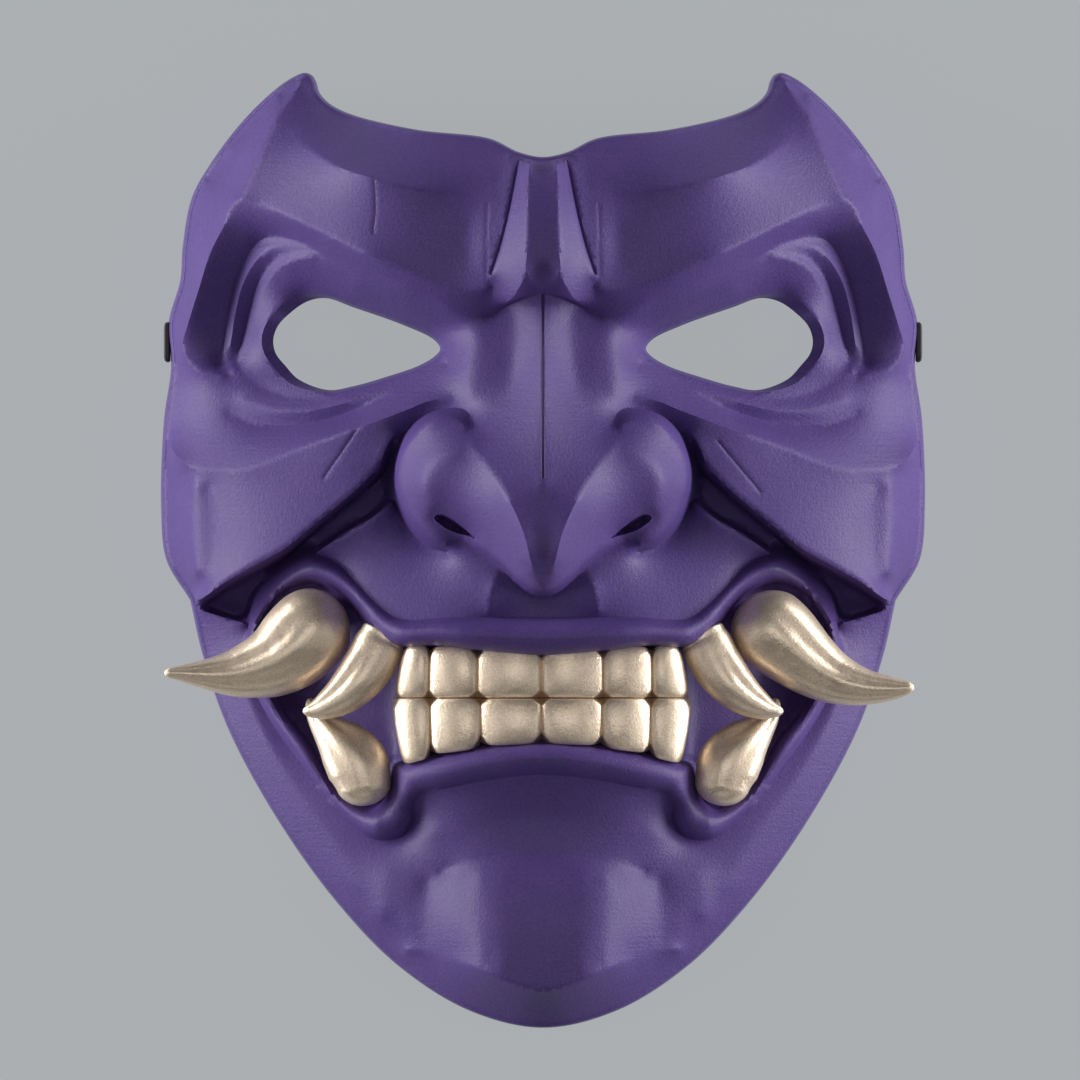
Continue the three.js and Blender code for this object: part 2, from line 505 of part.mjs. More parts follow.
const TUSK_LEFT = [
  { at: [49.3, -18.3, 46.5] }, { at: [50.7, -18, 46.5], wide: 5, deep: 4.4 },
  { at: [53.2, -18.8, 46.5], wide: 8, deep: 7 }, { at: [58.2, -21.1, 47], wide: 10.4, deep: 9 },
  { at: [64.5, -25.6, 47], wide: 9.8, deep: 8.8 }, { at: [72, -29.3, 47.7], wide: 7.6, deep: 7.4 },
  { at: [79, -30.7, 49], wide: 5.4, deep: 5.4 }, { at: [85.2, -30.9, 50.3], wide: 3.6, deep: 3.6 },
  { at: [90.5, -30.7, 51.7], wide: 2, deep: 2 }, { at: [94.5, -30.5, 53] },
];
const TUSK_RIGHT = [
  { at: [48.4, -19, 46.5] }, { at: [50.1, -18.8, 46.5], wide: 5, deep: 4.4 },
  { at: [53.5, -19.6, 46.5], wide: 8.2, deep: 7.2 }, { at: [60, -22.8, 47], wide: 10, deep: 9 },
  { at: [67.3, -28.7, 47.3], wide: 8.1, deep: 8 }, { at: [75.7, -32.9, 48.5], wide: 5.9, deep: 5.9 },
  { at: [84.2, -34.3, 50.4], wide: 3.7, deep: 3.7 }, { at: [89.5, -34.3, 51.7], wide: 2.1, deep: 2.1 },
  { at: [92.6, -34.1, 53] },
];
const UPPER_FANG = [
  { at: [40.3, -22.9, 51.5] }, { at: [40.8, -23.6, 51.5], wide: 4.9, deep: 4 },
  { at: [43.5, -28.4, 52.5], wide: 6.3, deep: 5.2 }, { at: [48.2, -34.4, 53], wide: 5.6, deep: 4.7 },
  { at: [53.6, -38.6, 53], wide: 3.4, deep: 3.2 }, { at: [57.7, -40.2, 53], wide: 1.5, deep: 1.5 },
  { at: [60.2, -40.5, 53] },
];
const LOWER_FANG = [
  { at: [42.6, -62.2, 48.4] }, { at: [42.9, -60.8, 48.4], wide: 3.6, deep: 2.8 },
  { at: [44.2, -57.3, 48.4], wide: 5.8, deep: 4.4 }, { at: [47.7, -51.6, 47.8], wide: 6.8, deep: 5.4 },
  { at: [52, -46, 46], wide: 6, deep: 5 }, { at: [55, -41.2, 45], wide: 3.8, deep: 3.4 },
  { at: [57.2, -37.8, 44.5], wide: 1.8, deep: 1.8 }, { at: [58.3, -35.7, 44] },
];

// The dark moulded tab against the side wall, where the head strap is fixed.
function buildLug(name, side, material) {
  const { length, height, thickness, corner } = LUG;
  const outline = new THREE.Shape();
  const [x, y] = [length / 2, height / 2];
  outline.moveTo(-x + corner, -y);
  outline.lineTo(x - corner, -y);
  outline.quadraticCurveTo(x, -y, x, -y + corner);
  outline.lineTo(x, y - corner);
  outline.quadraticCurveTo(x, y, x - corner, y);
  outline.lineTo(-x + corner, y);
  outline.quadraticCurveTo(-x, y, -x, y - corner);
  outline.lineTo(-x, -y + corner);
  outline.quadraticCurveTo(-x, -y, -x + corner, -y);
  const settings = { depth: thickness, bevelEnabled: false, curveSegments: 3 };
  const geometry = new THREE.ExtrudeGeometry(outline, settings);
  const mesh = new THREE.Mesh(geometry, material);
  mesh.name = name;
  const turn = new THREE.Matrix4().makeBasis(
    new THREE.Vector3(0, 1, 0), new THREE.Vector3(0, 0, 1), new THREE.Vector3(1, 0, 0),
  );
  mesh.quaternion.setFromRotationMatrix(turn);
  mesh.position.set(side > 0 ? LUG_FACE - thickness : -LUG_FACE, LUG_Y, LUG_Z);
  return mesh;
}

function paint(color, metalness, roughness) {
  return new THREE.MeshStandardMaterial({ color, metalness, roughness });
}

const violet = () => paint(VIOLET, 0, 0.5);
const champagne = () => paint(CHAMPAGNE, 0.9, 0.35);
const dark = () => paint(DARK_STRAP, 0, 0.7);
const UPPER_JOINTS = [0, 15.8, 27.6, 36];
const LOWER_JOINTS = [0, 15, 27.5, 36.4];
const upperEdge = (x) => -27 + 0.0015 * x * x;
const lowerEdge = (x) => -46.9 - 0.0041 * x * x;

const group = new THREE.Group();
group.add(buildShell(violet()));
group.add(buildTeeth('upper_teeth', UPPER_JOINTS, upperEdge, BITE_Y + CLEARANCE / 2, champagne()));
group.add(buildTeeth('lower_teeth', LOWER_JOINTS, lowerEdge, BITE_Y - CLEARANCE / 2, champagne()));
group.add(buildHorn('tusk_left', TUSK_LEFT, 12, true, champagne()));
group.add(buildHorn('tusk_right', TUSK_RIGHT, 12, false, champagne()));
group.add(buildHorn('upper_fang_left', UPPER_FANG, 10, true, champagne()));
group.add(buildHorn('upper_fang_right', UPPER_FANG, 10, false, champagne()));
group.add(buildHorn('lower_fang_left', LOWER_FANG, 10, true, champagne()));
group.add(buildHorn('lower_fang_right', LOWER_FANG, 10, false, champagne()));
group.add(buildLug('strap_lug_left', -1, dark()));
group.add(buildLug('strap_lug_right', 1, dark()));

export default group;
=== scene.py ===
# A samurai mask with a demon's face: a moulded violet resin shell, teeth and tusks with a champagne
# metal coat, and a dark plastic tab at each temple. It lies on its rim, face up.
# The carving is written in millimetres, as x, y and z of the right half. mesh_piece turns it to metres.
import math

import bpy
import numpy as np
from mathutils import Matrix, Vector
from mathutils.geometry import delaunay_2d_cdt
from mathutils.kdtree import KDTree


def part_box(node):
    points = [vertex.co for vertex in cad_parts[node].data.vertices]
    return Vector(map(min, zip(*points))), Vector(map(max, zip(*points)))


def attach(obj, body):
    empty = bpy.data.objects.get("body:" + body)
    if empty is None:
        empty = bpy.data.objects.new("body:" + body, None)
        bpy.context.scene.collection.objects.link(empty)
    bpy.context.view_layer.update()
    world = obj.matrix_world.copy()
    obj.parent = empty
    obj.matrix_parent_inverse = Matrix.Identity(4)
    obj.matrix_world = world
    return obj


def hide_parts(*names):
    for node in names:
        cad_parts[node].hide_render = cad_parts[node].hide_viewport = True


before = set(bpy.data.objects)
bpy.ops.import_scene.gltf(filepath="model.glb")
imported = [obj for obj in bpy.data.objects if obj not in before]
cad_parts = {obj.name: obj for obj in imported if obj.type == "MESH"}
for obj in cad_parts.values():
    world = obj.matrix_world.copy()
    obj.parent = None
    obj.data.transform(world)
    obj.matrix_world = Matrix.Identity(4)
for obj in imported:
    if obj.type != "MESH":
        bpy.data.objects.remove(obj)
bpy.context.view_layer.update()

MM = 0.001
WALL = 3.0                 # thickness of the moulded shell
RIM_WIDTH = 3.6            # flat rim that the mask rests on
SIDE_DRAFT = 1.3           # how far in from the outline the front face ends
BROW_LIFT = 38.0           # rise of the rim over the brow
BROW_LIFT_FROM = 75.0      # y at which that rise begins
BROW_LIFT_LENGTH = 30.0    # length of the slope up to it
BROW_ARCH = 75.0           # half the width of the arch under the brow
CHIN_LIFT = 22.0           # rise of the rim under the chin
CHIN_LIFT_FROM = -32.0     # y at which that rise begins
CHIN_END = 119.0           # distance from the origin to the chin's end
MOUTH_FLOOR = 54.0         # height of the mouth's floor on the middle line
MOUTH_CURVE = 0.0078       # how fast the floor falls away to the sides, per mm
CORNER_FLOOR = 36.5        # the shell's level floor beside the teeth
CORNER_FROM = 33.0         # where the floor begins to drop to it, from the middle line
CORNER_SLOPE = 3.0         # and how steeply it drops there
RECESS_WALL = 0.6          # lean of the wall around the mouth

# The rolled lips lie between the mouth's edge and the crease around it.
LIP_RISE = 5.4             # height of the roll over its two edges
LIP_WIDTH = 7.0            # a roll narrower than this is lower
LIP_ROUND = 0.7            # power of its profile: 0.5 is half a circle and 1 a parabola
LIP_CORNER = (75, -25, 27.5)    # where the crease passes the corner of the mouth
LIP_STEP = 0.3             # spacing of points along the crease
MOUTH_MARGIN = 0.2         # flat strip between the roll and the mouth's edge
CREASE_MARGIN = 0.25       # the same along the crease

# The net of points that carries the skin.
HALF_WIDTH = 98            # the net reaches a little past the mask's edge
HALF_LENGTH = 122
FRONT_STEP = 0.8           # spacing of points on the front face
EYE_STEP = FRONT_STEP * 0.8    # the same round the eye holes
BACK_STEP = 1.9            # spacing of points on the plain back face
LINE_STEP = 0.6            # spacing of points along a carved line
SOFT_STEP = LINE_STEP * 1.5    # the same along a soft line
LINE_GAP = 0.3             # least distance between two points of the lines
CURVE_STEPS = 24           # points on the curve from one given point to the next
CREST_GAP = 0.45           # least distance from a carved point to the face's edge
NET_GAP = 0.62             # least distance from a point of the net to a line, in steps of the net
BACK_GAP = 0.6             # the same for the back face
DETAIL_GAP = 0.2           # least distance between the points along a cut

# How the skin is stretched over the carved lines and rounded.
CROWN = 0.012              # bulge of the skin between two carved lines, per mm
MEAN_HEIGHT = 55.0         # height from which the stretching starts
LINK_WEIGHTS = (0.02, 5)   # least and most weight of a link between two points
MOST_PULLS = 1500          # most steps of the solver for the stretching
MOST_ROUNDINGS = 300       # and for each pass of the rounding
SOLVED = 1e-10             # share of the first error at which it stops
SHARP_BLUR = 0.28          # rounding at a carved line
SOFT_BLUR = 1.4            # rounding of the skin between the lines
FAR_BLUR = 3.2             # rounding of wide skin far from any line
SOFT_BLUR_GAPS = (0.8, 5.8)     # distances from a line between which the soft rounding sets in
FAR_BLUR_GAPS = (5.0, 12.0)     # the same for the far rounding
BLUR_PASSES = 2

# The side wall's section from the front down: how far in from the outline and how far below the
# front's edge, then shares of the way down, then how far in and how far above the rim's height.
EDGE_ROUNDING = [(1.02, 0.1), (0.78, 0.35), (0.6, 0.8), (0.5, 1.6)]
WALL_SHARES = (0.2, 0.4, 0.6, 0.8)
RIM_ROUNDING = [
    (0, 0.6), (0.18, 0.18), (0.6, 0), (RIM_WIDTH - 0.6, 0), (RIM_WIDTH - 0.18, 0.18), (RIM_WIDTH, 0.6),
]
BACK_INSET = 0.5           # how far in from the rim the back face begins
EDGE_REACH = 2             # points on each side over which the direction of the edge is taken
RIM_REACH = 6              # the same for the rim
EYE_WALL_SHARES = (0.12, 0.35, 0.65, 0.88)      # rings between an eye's two edges, front to back

# The right half of the edge, as three stretches with a corner between them, with the height at
# which the front face begins.
EDGE = [
    [(0, 98.1, 67), (6, 99.3, 65), (13.4, 102.7, 61), (31.3, 104.9, 54), (48.5, 109.1, 39),
     (53.6, 111.8, 35), (55.9, 114.4, 33), (56.6, 116.8, 32)],
    [(56.6, 116.8, 32), (57.6, 118.6, 31.5), (59.5, 119.4, 31), (62, 118.6, 30), (66.4, 115.8, 29),
     (74.7, 108.1, 26), (83, 97.3, 23.5), (88, 88.3, 21), (90.3, 76, 20), (90.9, 67.6, 20),
     (93.8, 57, 20), (93.2, 45.9, 22), (95, 32.5, 22), (95.7, 10.4, 20), (94.4, -2.4, 20),
     (88.4, -12.6, 22)],
    [(88.4, -12.6, 22), (85.2, -26.6, 20), (78.6, -45.4, 23), (65.9, -68.4, 28), (51.4, -88.4, 33),
     (36.3, -103.9, 38), (18, -115.3, 46), (0, -119.4, 50)],
]

# The eye hole at the front face, and the smaller see-through hole behind it.
EYE_FRONT = [
    (25, 50, 55), (26.8, 53, 53.5), (34.5, 56.6, 51.5), (47.3, 61.2, 47), (54.3, 63.6, 44),
    (60, 63.4, 40), (65.8, 60.6, 39.5), (68.9, 56.8, 38), (70.2, 52.6, 37), (69.6, 49.2, 37),
    (66.4, 44.7, 38.6), (62.5, 41.3, 41), (53.6, 39.2, 46), (47.3, 40.1, 48.5), (39, 42.4, 51.5),
    (30.7, 45.3, 54), (26.3, 47.8, 55.5),
]
EYE_BACK = [
    (25.6, 50.1), (27.2, 52.4), (34.7, 56), (47.3, 60.5), (54.1, 62.8), (58.8, 62), (63.2, 59),
    (66.2, 55.8), (67.3, 52.3), (66.7, 49.1), (64.3, 46), (61, 42.6), (53.6, 39.9), (47.4, 40.8),
    (39.2, 43.1), (31, 45.9), (26.8, 48.4),
]

# The right half of the mouth's opening, from the middle of the upper lip round to the middle of the
# lower one.
MOUTH = [
    (0, -26, 65), (16, -24.8, 64.5), (26.5, -23.6, 62), (34.5, -24, 58), (37.6, -23.3, 56),
    (43.6, -18.5, 52), (46.5, -14.8, 49.5), (51.4, -10, 46), (57.8, -7.5, 43), (64.2, -9.4, 38.8),
    (68.7, -14, 34.5), (71.5, -21.5, 30), (67.4, -35.8, 31), (65.4, -40.1, 32), (58.9, -48, 34.5),
    (52.1, -60, 38), (43.6, -65, 42), (39.6, -62.6, 44.5), (38.1, -59, 46.5), (36.8, -53.8, 49.5),
    (34.5, -53, 51.5), (25.8, -51, 56.5), (13, -48.8, 60.5), (0, -47.8, 61.5),
]

# Carved lines of the right half where two planes meet: ridges, creases and the edges of planes.
SHARP_LINES = {
    "forehead_edge": [(66.6, 107.8, 38.5), (63.4, 104.1, 42.5), (58.4, 100.1, 50), (51.5, 95.6, 60),
                      (43.5, 92.7, 67), (33.6, 90.2, 69.2), (23.6, 88.7, 69.4), (17.6, 87.4, 70.4),
                      (13.2, 86.4, 72)],
    "horn_edge": [(66.6, 107.8, 38.5), (62.8, 112.6, 35.5), (60.2, 117, 33)],
    "temple_edge": [(66.6, 107.8, 38.5), (70.5, 98, 43.5), (75.2, 87.4, 45.5)],
    "outer_temple": [(66.4, 113.2, 32), (74.4, 104.4, 30.5), (81, 97.6, 28), (85.2, 90, 25.5),
                     (87, 83, 24), (88.2, 76, 23)],
    "frame_ridge": [(13.6, 65.4, 73), (18.5, 64.4, 71.2), (28.1, 67, 70.2), (34.5, 69.5, 69.8),
                    (42, 72.8, 68.4), (47.3, 75.3, 65.5), (60, 81.6, 56.5), (70.8, 86.4, 47.8),
                    (75.2, 87.4, 45.5), (77.6, 85.7, 43.5), (79.2, 81.6, 42), (83, 74, 39),
                    (86.1, 64.4, 36), (88.7, 56.1, 32.5), (90, 51, 30.5), (89, 47.8, 30.5),
                    (85.5, 44.7, 32), (80, 43.5, 34)],
    "frame_inner": [(9, 60.6, 66), (12.8, 58.4, 65), (16.6, 57.8, 65.5), (21.8, 59.3, 66),
                    (28.1, 63.2, 67), (34.5, 64.8, 65), (42.5, 67.7, 61.5), (51.8, 71.8, 55.8),
                    (59.7, 76, 49.6), (64, 77.6, 45.8), (68.2, 78, 41.8), (71.1, 76.8, 39),
                    (73.6, 73.6, 36.8), (76.8, 66.4, 33.4), (79, 57, 30.4), (80.2, 50, 29.6),
                    (80.6, 46, 30.4)],
    "strip_outer": [(57, 74.8, 51.8), (59.3, 75.4, 50.2), (63.3, 76.1, 46.9), (67.4, 75.3, 43.6),
                    (71.6, 72, 40.2), (75, 66, 36.4), (76.8, 59, 33.6), (78.1, 51, 31.4),
                    (79.2, 46.4, 30.8)],
    "frame_groove": [(58.5, 74, 50.8), (63.8, 73.5, 45.4), (67, 72.2, 41.8), (69.4, 69.5, 38.6),
                     (71.5, 65.6, 35.2), (73.6, 59, 32.2), (75.6, 51, 30.4), (77.2, 47, 31.2)],
    "groove_inner": [(57.2, 73.1, 52), (60.2, 72.8, 49.4), (63.2, 71.9, 46.8), (66, 70.4, 43.4),
                     (68, 68, 40.6), (70, 64.8, 37.4), (72.2, 58.4, 34.2), (74.2, 50.8, 32.2),
                     (76, 46.8, 31.6)],
    "lower_lid": [(77.3, 44.8, 34), (69.5, 40.5, 37.5), (60, 38, 43.5), (47.3, 38.6, 50.5),
                  (34.5, 41.6, 55.2), (24, 46.5, 58.5)],
    "lid_crease": [(75.3, 37.6, 37), (66.4, 34.8, 42.8), (58.8, 34.6, 47), (49.8, 36.4, 51),
                   (38.3, 39.6, 54.6)],
    "lid_ledge": [(78.4, 34, 34.8), (72.6, 31.8, 38), (66, 31.2, 41.5), (57.8, 31.8, 46.2),
                  (48.6, 34.4, 50.4), (43, 36.9, 53.2), (39, 39, 54.5)],
    "cheekbone": [(93, 26, 27), (91, 23.1, 32.5), (88, 20.9, 36), (79.1, 19.9, 43), (72.8, 20.3, 47.5),
                  (60, 25.4, 54), (47.3, 29.8, 60), (34.5, 34.6, 63), (28.1, 37.1, 64), (22.6, 37.9, 65.4)],
    "plate_edge": [(40.9, 20.6, 61), (47.3, 14.3, 59.5), (56.2, 6.9, 56), (64.6, 0.2, 52),
                   (70.2, -2.9, 49), (75.3, -5.7, 46), (79.9, -8.4, 42.5), (85.3, -12.2, 37),
                   (87, -12.4, 32)],
    "plate_top": [(37, 29, 61.5), (39, 25.5, 62), (40.9, 20.6, 61)],
    "fold_floor": [(37, 27.2, 56), (38.7, 21.6, 49), (40, 18.6, 44), (46, 13, 40), (55.1, 5.5, 36),
                   (63.6, -1.5, 30), (68.7, -4.6, 24), (74.1, -7.4, 18), (78.8, -10.1, 14),
                   (83.9, -13.3, 14.5)],
    "fold_foot": [(39.5, 15.4, 42), (40.4, 11.8, 41), (43.6, 9.1, 39), (49.2, 5.9, 38), (56.6, 1, 34)],
    "pocket_foot": [(70, -7.2, 20), (73.4, -11.5, 15), (75.2, -16.4, 13), (80.2, -15.2, 12),
                    (83.6, -14.1, 14.5)],
    "jaw_top": [(87, -14.6, 22), (80, -16.8, 25), (74.9, -18.2, 27.5)],
    "muzzle_edge": [(37.9, 11.6, 56), (42.8, 7.8, 55.5), (48.5, 4.6, 52.5), (56, -0.4, 47)],
    "glabella_crest": [(3.5, 97.6, 71.5), (3.7, 85, 80), (3.9, 75, 82.5), (4.2, 68.6, 82.5),
                       (0.02, 64.4, 76)],
    "wedge_crease": [(5.7, 97.5, 68), (8, 84, 75), (10.4, 75, 75.4), (12.9, 67.6, 74.2)],
    "wedge_keel": [(4.2, 68.6, 82.5), (5.8, 65.4, 79.4), (7.6, 62.6, 75.6), (9.3, 61.4, 71.5)],
    "wedge_end": [(12.9, 67.6, 74.2), (12.6, 63.6, 70.8), (9.3, 61.4, 71.5)],
    "patch_edge": [(8, 98.4, 65.8), (10.8, 93, 68.6), (12.9, 86.2, 72.2), (13.4, 78, 74), (13.6, 70, 74)],
    "bridge_top": [(0.02, 63.8, 71.5), (4, 62.6, 70), (9, 60.6, 66)],
    "bridge_middle": [(0, 63.8, 71.5), (0, 55, 74), (0, 45, 79), (0, 35, 84), (0, 25, 89), (0, 17, 92.5)],
    "wing_foot": [(17.4, 31.4, 73), (18.4, 34, 69), (20.2, 35.2, 66.5), (23, 35.4, 64.5),
                  (29.4, 33.8, 61.5), (34.9, 28.9, 58), (37.4, 23.1, 54), (38.2, 16.8, 50),
                  (36.9, 11.3, 51), (33.5, 5.2, 53), (28.3, 0.7, 56), (23.6, -0.6, 59)],
    "wing_shoulder": [(19.2, 30.6, 75.5), (20.6, 32.2, 74), (23, 32.8, 73), (28.4, 31.4, 72),
                      (33, 27.2, 69), (35.5, 22.6, 67), (36.1, 17, 66), (34.7, 12.2, 66), (31.5, 7, 67),
                      (27.1, 2.8, 68), (23.8, 1.5, 68)],
    "lobe_ridge": [(17.6, 25.9, 80), (11.9, 18.4, 87.5), (6.6, 8.7, 94.6), (4.4, 3, 96.6),
                   (3.2, -2, 95.8), (2.1, -5.6, 92.6)],
    "lobe_low": [(19, 4.6, 72), (14.5, 1, 76), (9.6, -3.4, 81), (5.6, -7.2, 85), (2.4, -9.4, 87),
                 (0, -9.9, 87.5)],
    "lobe_foot": [(20.5, 1.5, 66), (16, -0.8, 66.5), (10.6, -4.6, 67), (6.5, -8.6, 65), (3.2, -11, 64),
                  (0, -11.8, 63.5)],
    "philtrum": [(10.6, -4.6, 67), (12.4, -9, 67.5), (13.5, -14.9, 65.8)],
    "lip_crease": [(0, -16.6, 64), (13.7, -16.7, 64), (24, -16.8, 62), (35.8, -17.1, 57),
                   (40.9, -13.9, 54), (46, -8.8, 50.5), (51, -3.9, 46.5), (57.4, -1, 42),
                   (62.5, -2.6, 37.5), (67.7, -7, 31), (71.5, -12, 24), (73.3, -16.4, 25), (73.8, -20, 27)],
    "lower_lip_crease": [(0, -55.9, 60), (13, -57.1, 59), (24.9, -59.5, 55.5), (30.2, -60.9, 52),
                         (32.4, -63.8, 48.5), (32.6, -67.8, 45), (35.6, -71.6, 42.5), (42.3, -72, 41),
                         (49.3, -66.6, 38.5), (61.4, -52, 33), (69, -41.1, 29.5), (74.5, -30, 28)],
    "chin_crease": [(0, -75.5, 58), (8.3, -75.8, 57.6), (18.3, -77.2, 54.8), (25.6, -80.2, 49.8)],
    "under_edge": [(0, -109.5, 63.8), (7, -107.6, 63.5), (12.5, -105.4, 62.4), (17.5, -103.6, 58.6),
                   (24, -101.3, 51.2), (29, -100, 46.8), (34, -99.8, 43.4)],
}

# Lines that only carry the broad swell of the skin.
SOFT_LINES = {
    "floor_step": [(32, -28, 46), (32, -38, 46), (32, -48, 46)],
    "floor_corner": [(36, -27, 37.4), (36.4, -38, 36.5), (37, -50, 37.4)],
    "nose_side": [(16.6, 52.6, 66.6), (18, 44.6, 68.6), (17.6, 39, 70)],
    "bridge_side": [(7, 58, 67.6), (7.4, 50, 69.2), (7.8, 43, 71.4), (10.8, 33.5, 76), (14.8, 28.2, 78.4)],
    "brow_lead": [(18.6, 82, 71), (18.8, 76, 71.2), (19, 71, 71.4)],
    "lobe_valley": [(0, 17, 92.2), (0, 9, 93.8), (0, 3, 95.3), (0, -3, 94.8), (0, -7, 90.6)],
    "chin_flat": [(10, -82, 61), (10, -92, 63.2), (10, -104.6, 63.2)],
    "chin_edge": [(15.4, -82, 59.2), (15.6, -92, 61.2), (15.6, -102.6, 60.6)],
    "chin_flank": [(21.6, -82.5, 54.4), (22.4, -92, 55.2), (22, -101, 53.6)],
    "chin_foot": [(29, -82.5, 47.6), (30, -92, 47.6), (29.8, -99, 46.4)],
    "lobe_crest": [(32.6, -82, 47.6), (33.4, -88, 47.1), (33.6, -93.5, 46)],
    "lobe_side": [(39, -82, 45.6), (40, -91, 43)],
    "cheek_side": [(87, 16, 37.4), (87, 4, 37), (86.6, -6, 37)],
    "cheek_shoulder": [(83.2, 16, 38.2), (83, 4, 37.8), (82.8, -6, 39)],
    "wing_crest": [(20.5, 25, 79.5), (26, 22, 79.5), (29.5, 17, 77), (28, 11, 74.5)],
    "jaw_middle": [(74.2, -22, 28), (75, -32, 28), (70, -45, 30), (61.5, -60, 33.5), (52, -73, 37.5),
                   (46, -84, 39.5)],
    "under_lip": [(0, -66, 57), (14, -67.5, 56.4), (26, -70, 52.5), (31, -72, 48)],
    "brow_under": [(20.6, 54.2, 62), (24, 56, 60), (34.5, 60, 57.5), (47.3, 65.5, 54)],
    "chin_middle": [(0, -80.5, 61), (0, -92, 63.6), (0, -105, 64)],
}

# Cuts made into the finished skin: x and y of the line, half width, depth, and whether both halves
# have it.
CUTS = {
    "bridge_line": {"line": [(0, 63.5), (0, 45), (0, 30), (0, 18)], "wide": 0.32, "deep": 0.8, "both": False},
    "wedge_line": {"line": [(6, 96.6), (8.5, 84), (10.8, 75), (12.8, 69)], "wide": 0.35, "deep": 0.7,
                   "both": True},
    "patch_line": {"line": [(13.8, 86), (14, 77), (14, 68)], "wide": 0.24, "deep": 0.18, "both": True},
    "brow_scratch": {"line": [(-42, 93), (-41.6, 85), (-42.2, 79)], "wide": 0.3, "deep": 0.22, "both": False},
    "cheek_cut_left": {"line": [(-45.3, 31.5), (-50, 24.5), (-54.5, 18)], "wide": 0.35, "deep": 0.3,
                       "both": False},
    "cheek_cut_right": {"line": [(43.5, 27), (48.5, 21), (54, 14.5)], "wide": 0.35, "deep": 0.3,
                        "both": False},
}
CUT_ROWS = (0, 0.8, -0.8, 1.7, -1.7)    # rows of points along a cut, in half widths from its line
CUT_STEP = 0.15            # spacing of the points from which the distance to a cut is measured

# The nostril's edge in x and y, its pocket and the dent around it.
NOSTRIL = [(26.9, 8.4), (25.2, 8.9), (22.7, 7.9), (20.1, 6.1), (18, 4.2), (16.9, 3), (18.7, 3.5), (21, 4.1),
           (23.5, 5), (25.6, 6.4), (26.9, 7.6)]
NOSTRIL_STEP = 0.35        # spacing of points along its edge
NOSTRIL_FINE_STEP = 0.1    # the same where the distance to the edge is measured
NOSTRIL_ROWS = (0, 0.3, -0.35, 0.7)     # rows of points inside and outside the edge
NOSTRIL_DEPTH = 6.0
NOSTRIL_WALL = 0.7         # distance in from the edge at which the pocket is at full depth
NOSTRIL_DENT = 0.9
NOSTRIL_DENT_REACH = 1.5

# The two rows of teeth. The joints are the edges of each row's teeth from left to right, and the
# root is the line where the teeth leave the lip: its y in the middle and how fast it bends, per mm.
BITE_Y = -36.8             # where the two rows meet
BITE_GAP = 0.1             # half the gap between them
TEETH = {
    "upper": {"joints": [-36.8, -28.5, -16.4, -0.4, 15, 27.2, 36.2], "root": -24.1, "curve": 0.0004,
              "bite": BITE_Y + BITE_GAP},
    "lower": {"joints": [-37.4, -28.2, -15.6, -0.4, 14.7, 26.8, 36.8], "root": -48.2, "curve": -0.0042,
              "bite": BITE_Y - BITE_GAP},
}
TOOTH_STEP = 0.3           # spacing of points across the row
TOOTH_ROWS = 36            # rows of points from the root to the bite
TOOTH_FACE = 62.0          # height of the faces on the middle line, before they swell
TOOTH_CURVE = 0.0052       # how fast the faces fall away to the sides, per mm
TOOTH_SQUARE = 10          # power of a tooth's rounded sides: the higher, the squarer
TOOTH_CLEARANCE = 0.5      # height of the bar's back over the mouth's floor
ROOT_LEVEL = 0.35          # share of the root line's slope that is levelled within each tooth
ROOT_BOW = 1.2             # how far the root's corners are drawn in
SIDE_SWELL = 1.4           # swell of a face from side to side
END_SWELL = 1.0            # and from the root to the bite
EDGE_DROP = 0.6            # drop of a face at its edges
CORNER_DROP = 3.6          # drop of a face at its four corners
CORNER_START = 1.68        # where a corner starts, as the sum of the two shares of the way out
CORNER_LENGTH = 0.24
NARROWING = 0.055          # narrowing of the outer teeth towards the root
NARROW_FROM = 27           # distance from the middle line at which it starts
NARROW_LENGTH = 9

# Stations of the right-hand tusks and fangs: x, y, z, half width across and half depth.
TUSK_LEFT = [
    (51.2, -12.4, 46.5, 9.6, 8), (54.9, -16.3, 46.7, 10.1, 8.6), (60.8, -23, 47, 10.6, 9.4),
    (67.3, -27.8, 47.2, 9, 8.6), (76.6, -30.6, 48.4, 6.1, 6.1), (85.6, -30.9, 50.4, 3.3, 3.3),
    (91.4, -30.6, 51.9, 1.7, 1.7), (94.4, -30.6, 52.6, 1, 1),
]
TUSK_RIGHT = [
    (49.3, -13.5, 46.5, 9.7, 8.2), (54.4, -18, 46.8, 10.2, 8.8), (58.9, -21.7, 47, 10.1, 9.2),
    (66.5, -28.2, 47.2, 8.2, 8), (72.4, -31.8, 47.8, 6.6, 6.5), (79.5, -34, 49.4, 4.75, 4.7),
    (87.1, -34.5, 51, 2.9, 2.9), (90.6, -34.3, 51.8, 1.8, 1.8), (92.5, -34.1, 52.4, 1.1, 1.1),
]
UPPER_FANG = [
    (39.2, -20.6, 51.5, 0, 0), (39.4, -21, 51.5, 4.4, 3.6), (40.4, -22.6, 51.8, 5.9, 4.6),
    (42.8, -27.7, 52.3, 6.4, 5.2), (46.2, -32.5, 53, 5.9, 5), (50.4, -36.5, 53, 4.8, 4.2),
    (54.7, -39, 53, 3.3, 3), (57.6, -39.9, 53, 1.9, 1.8), (59.9, -40.2, 53, 0.9, 0.9),
]
LOWER_FANG = [
    (43.5, -63.6, 48.4, 6.4, 4.8), (44.5, -58.8, 48.4, 6.8, 5.4), (46.2, -53.6, 48.1, 7.9, 5.9),
    (49.5, -48.9, 47.3, 6.9, 5.5), (53.7, -44.5, 46, 4.2, 4), (56.5, -40.9, 45, 2.6, 2.5),
    (58.4, -37, 44, 1, 1),
]

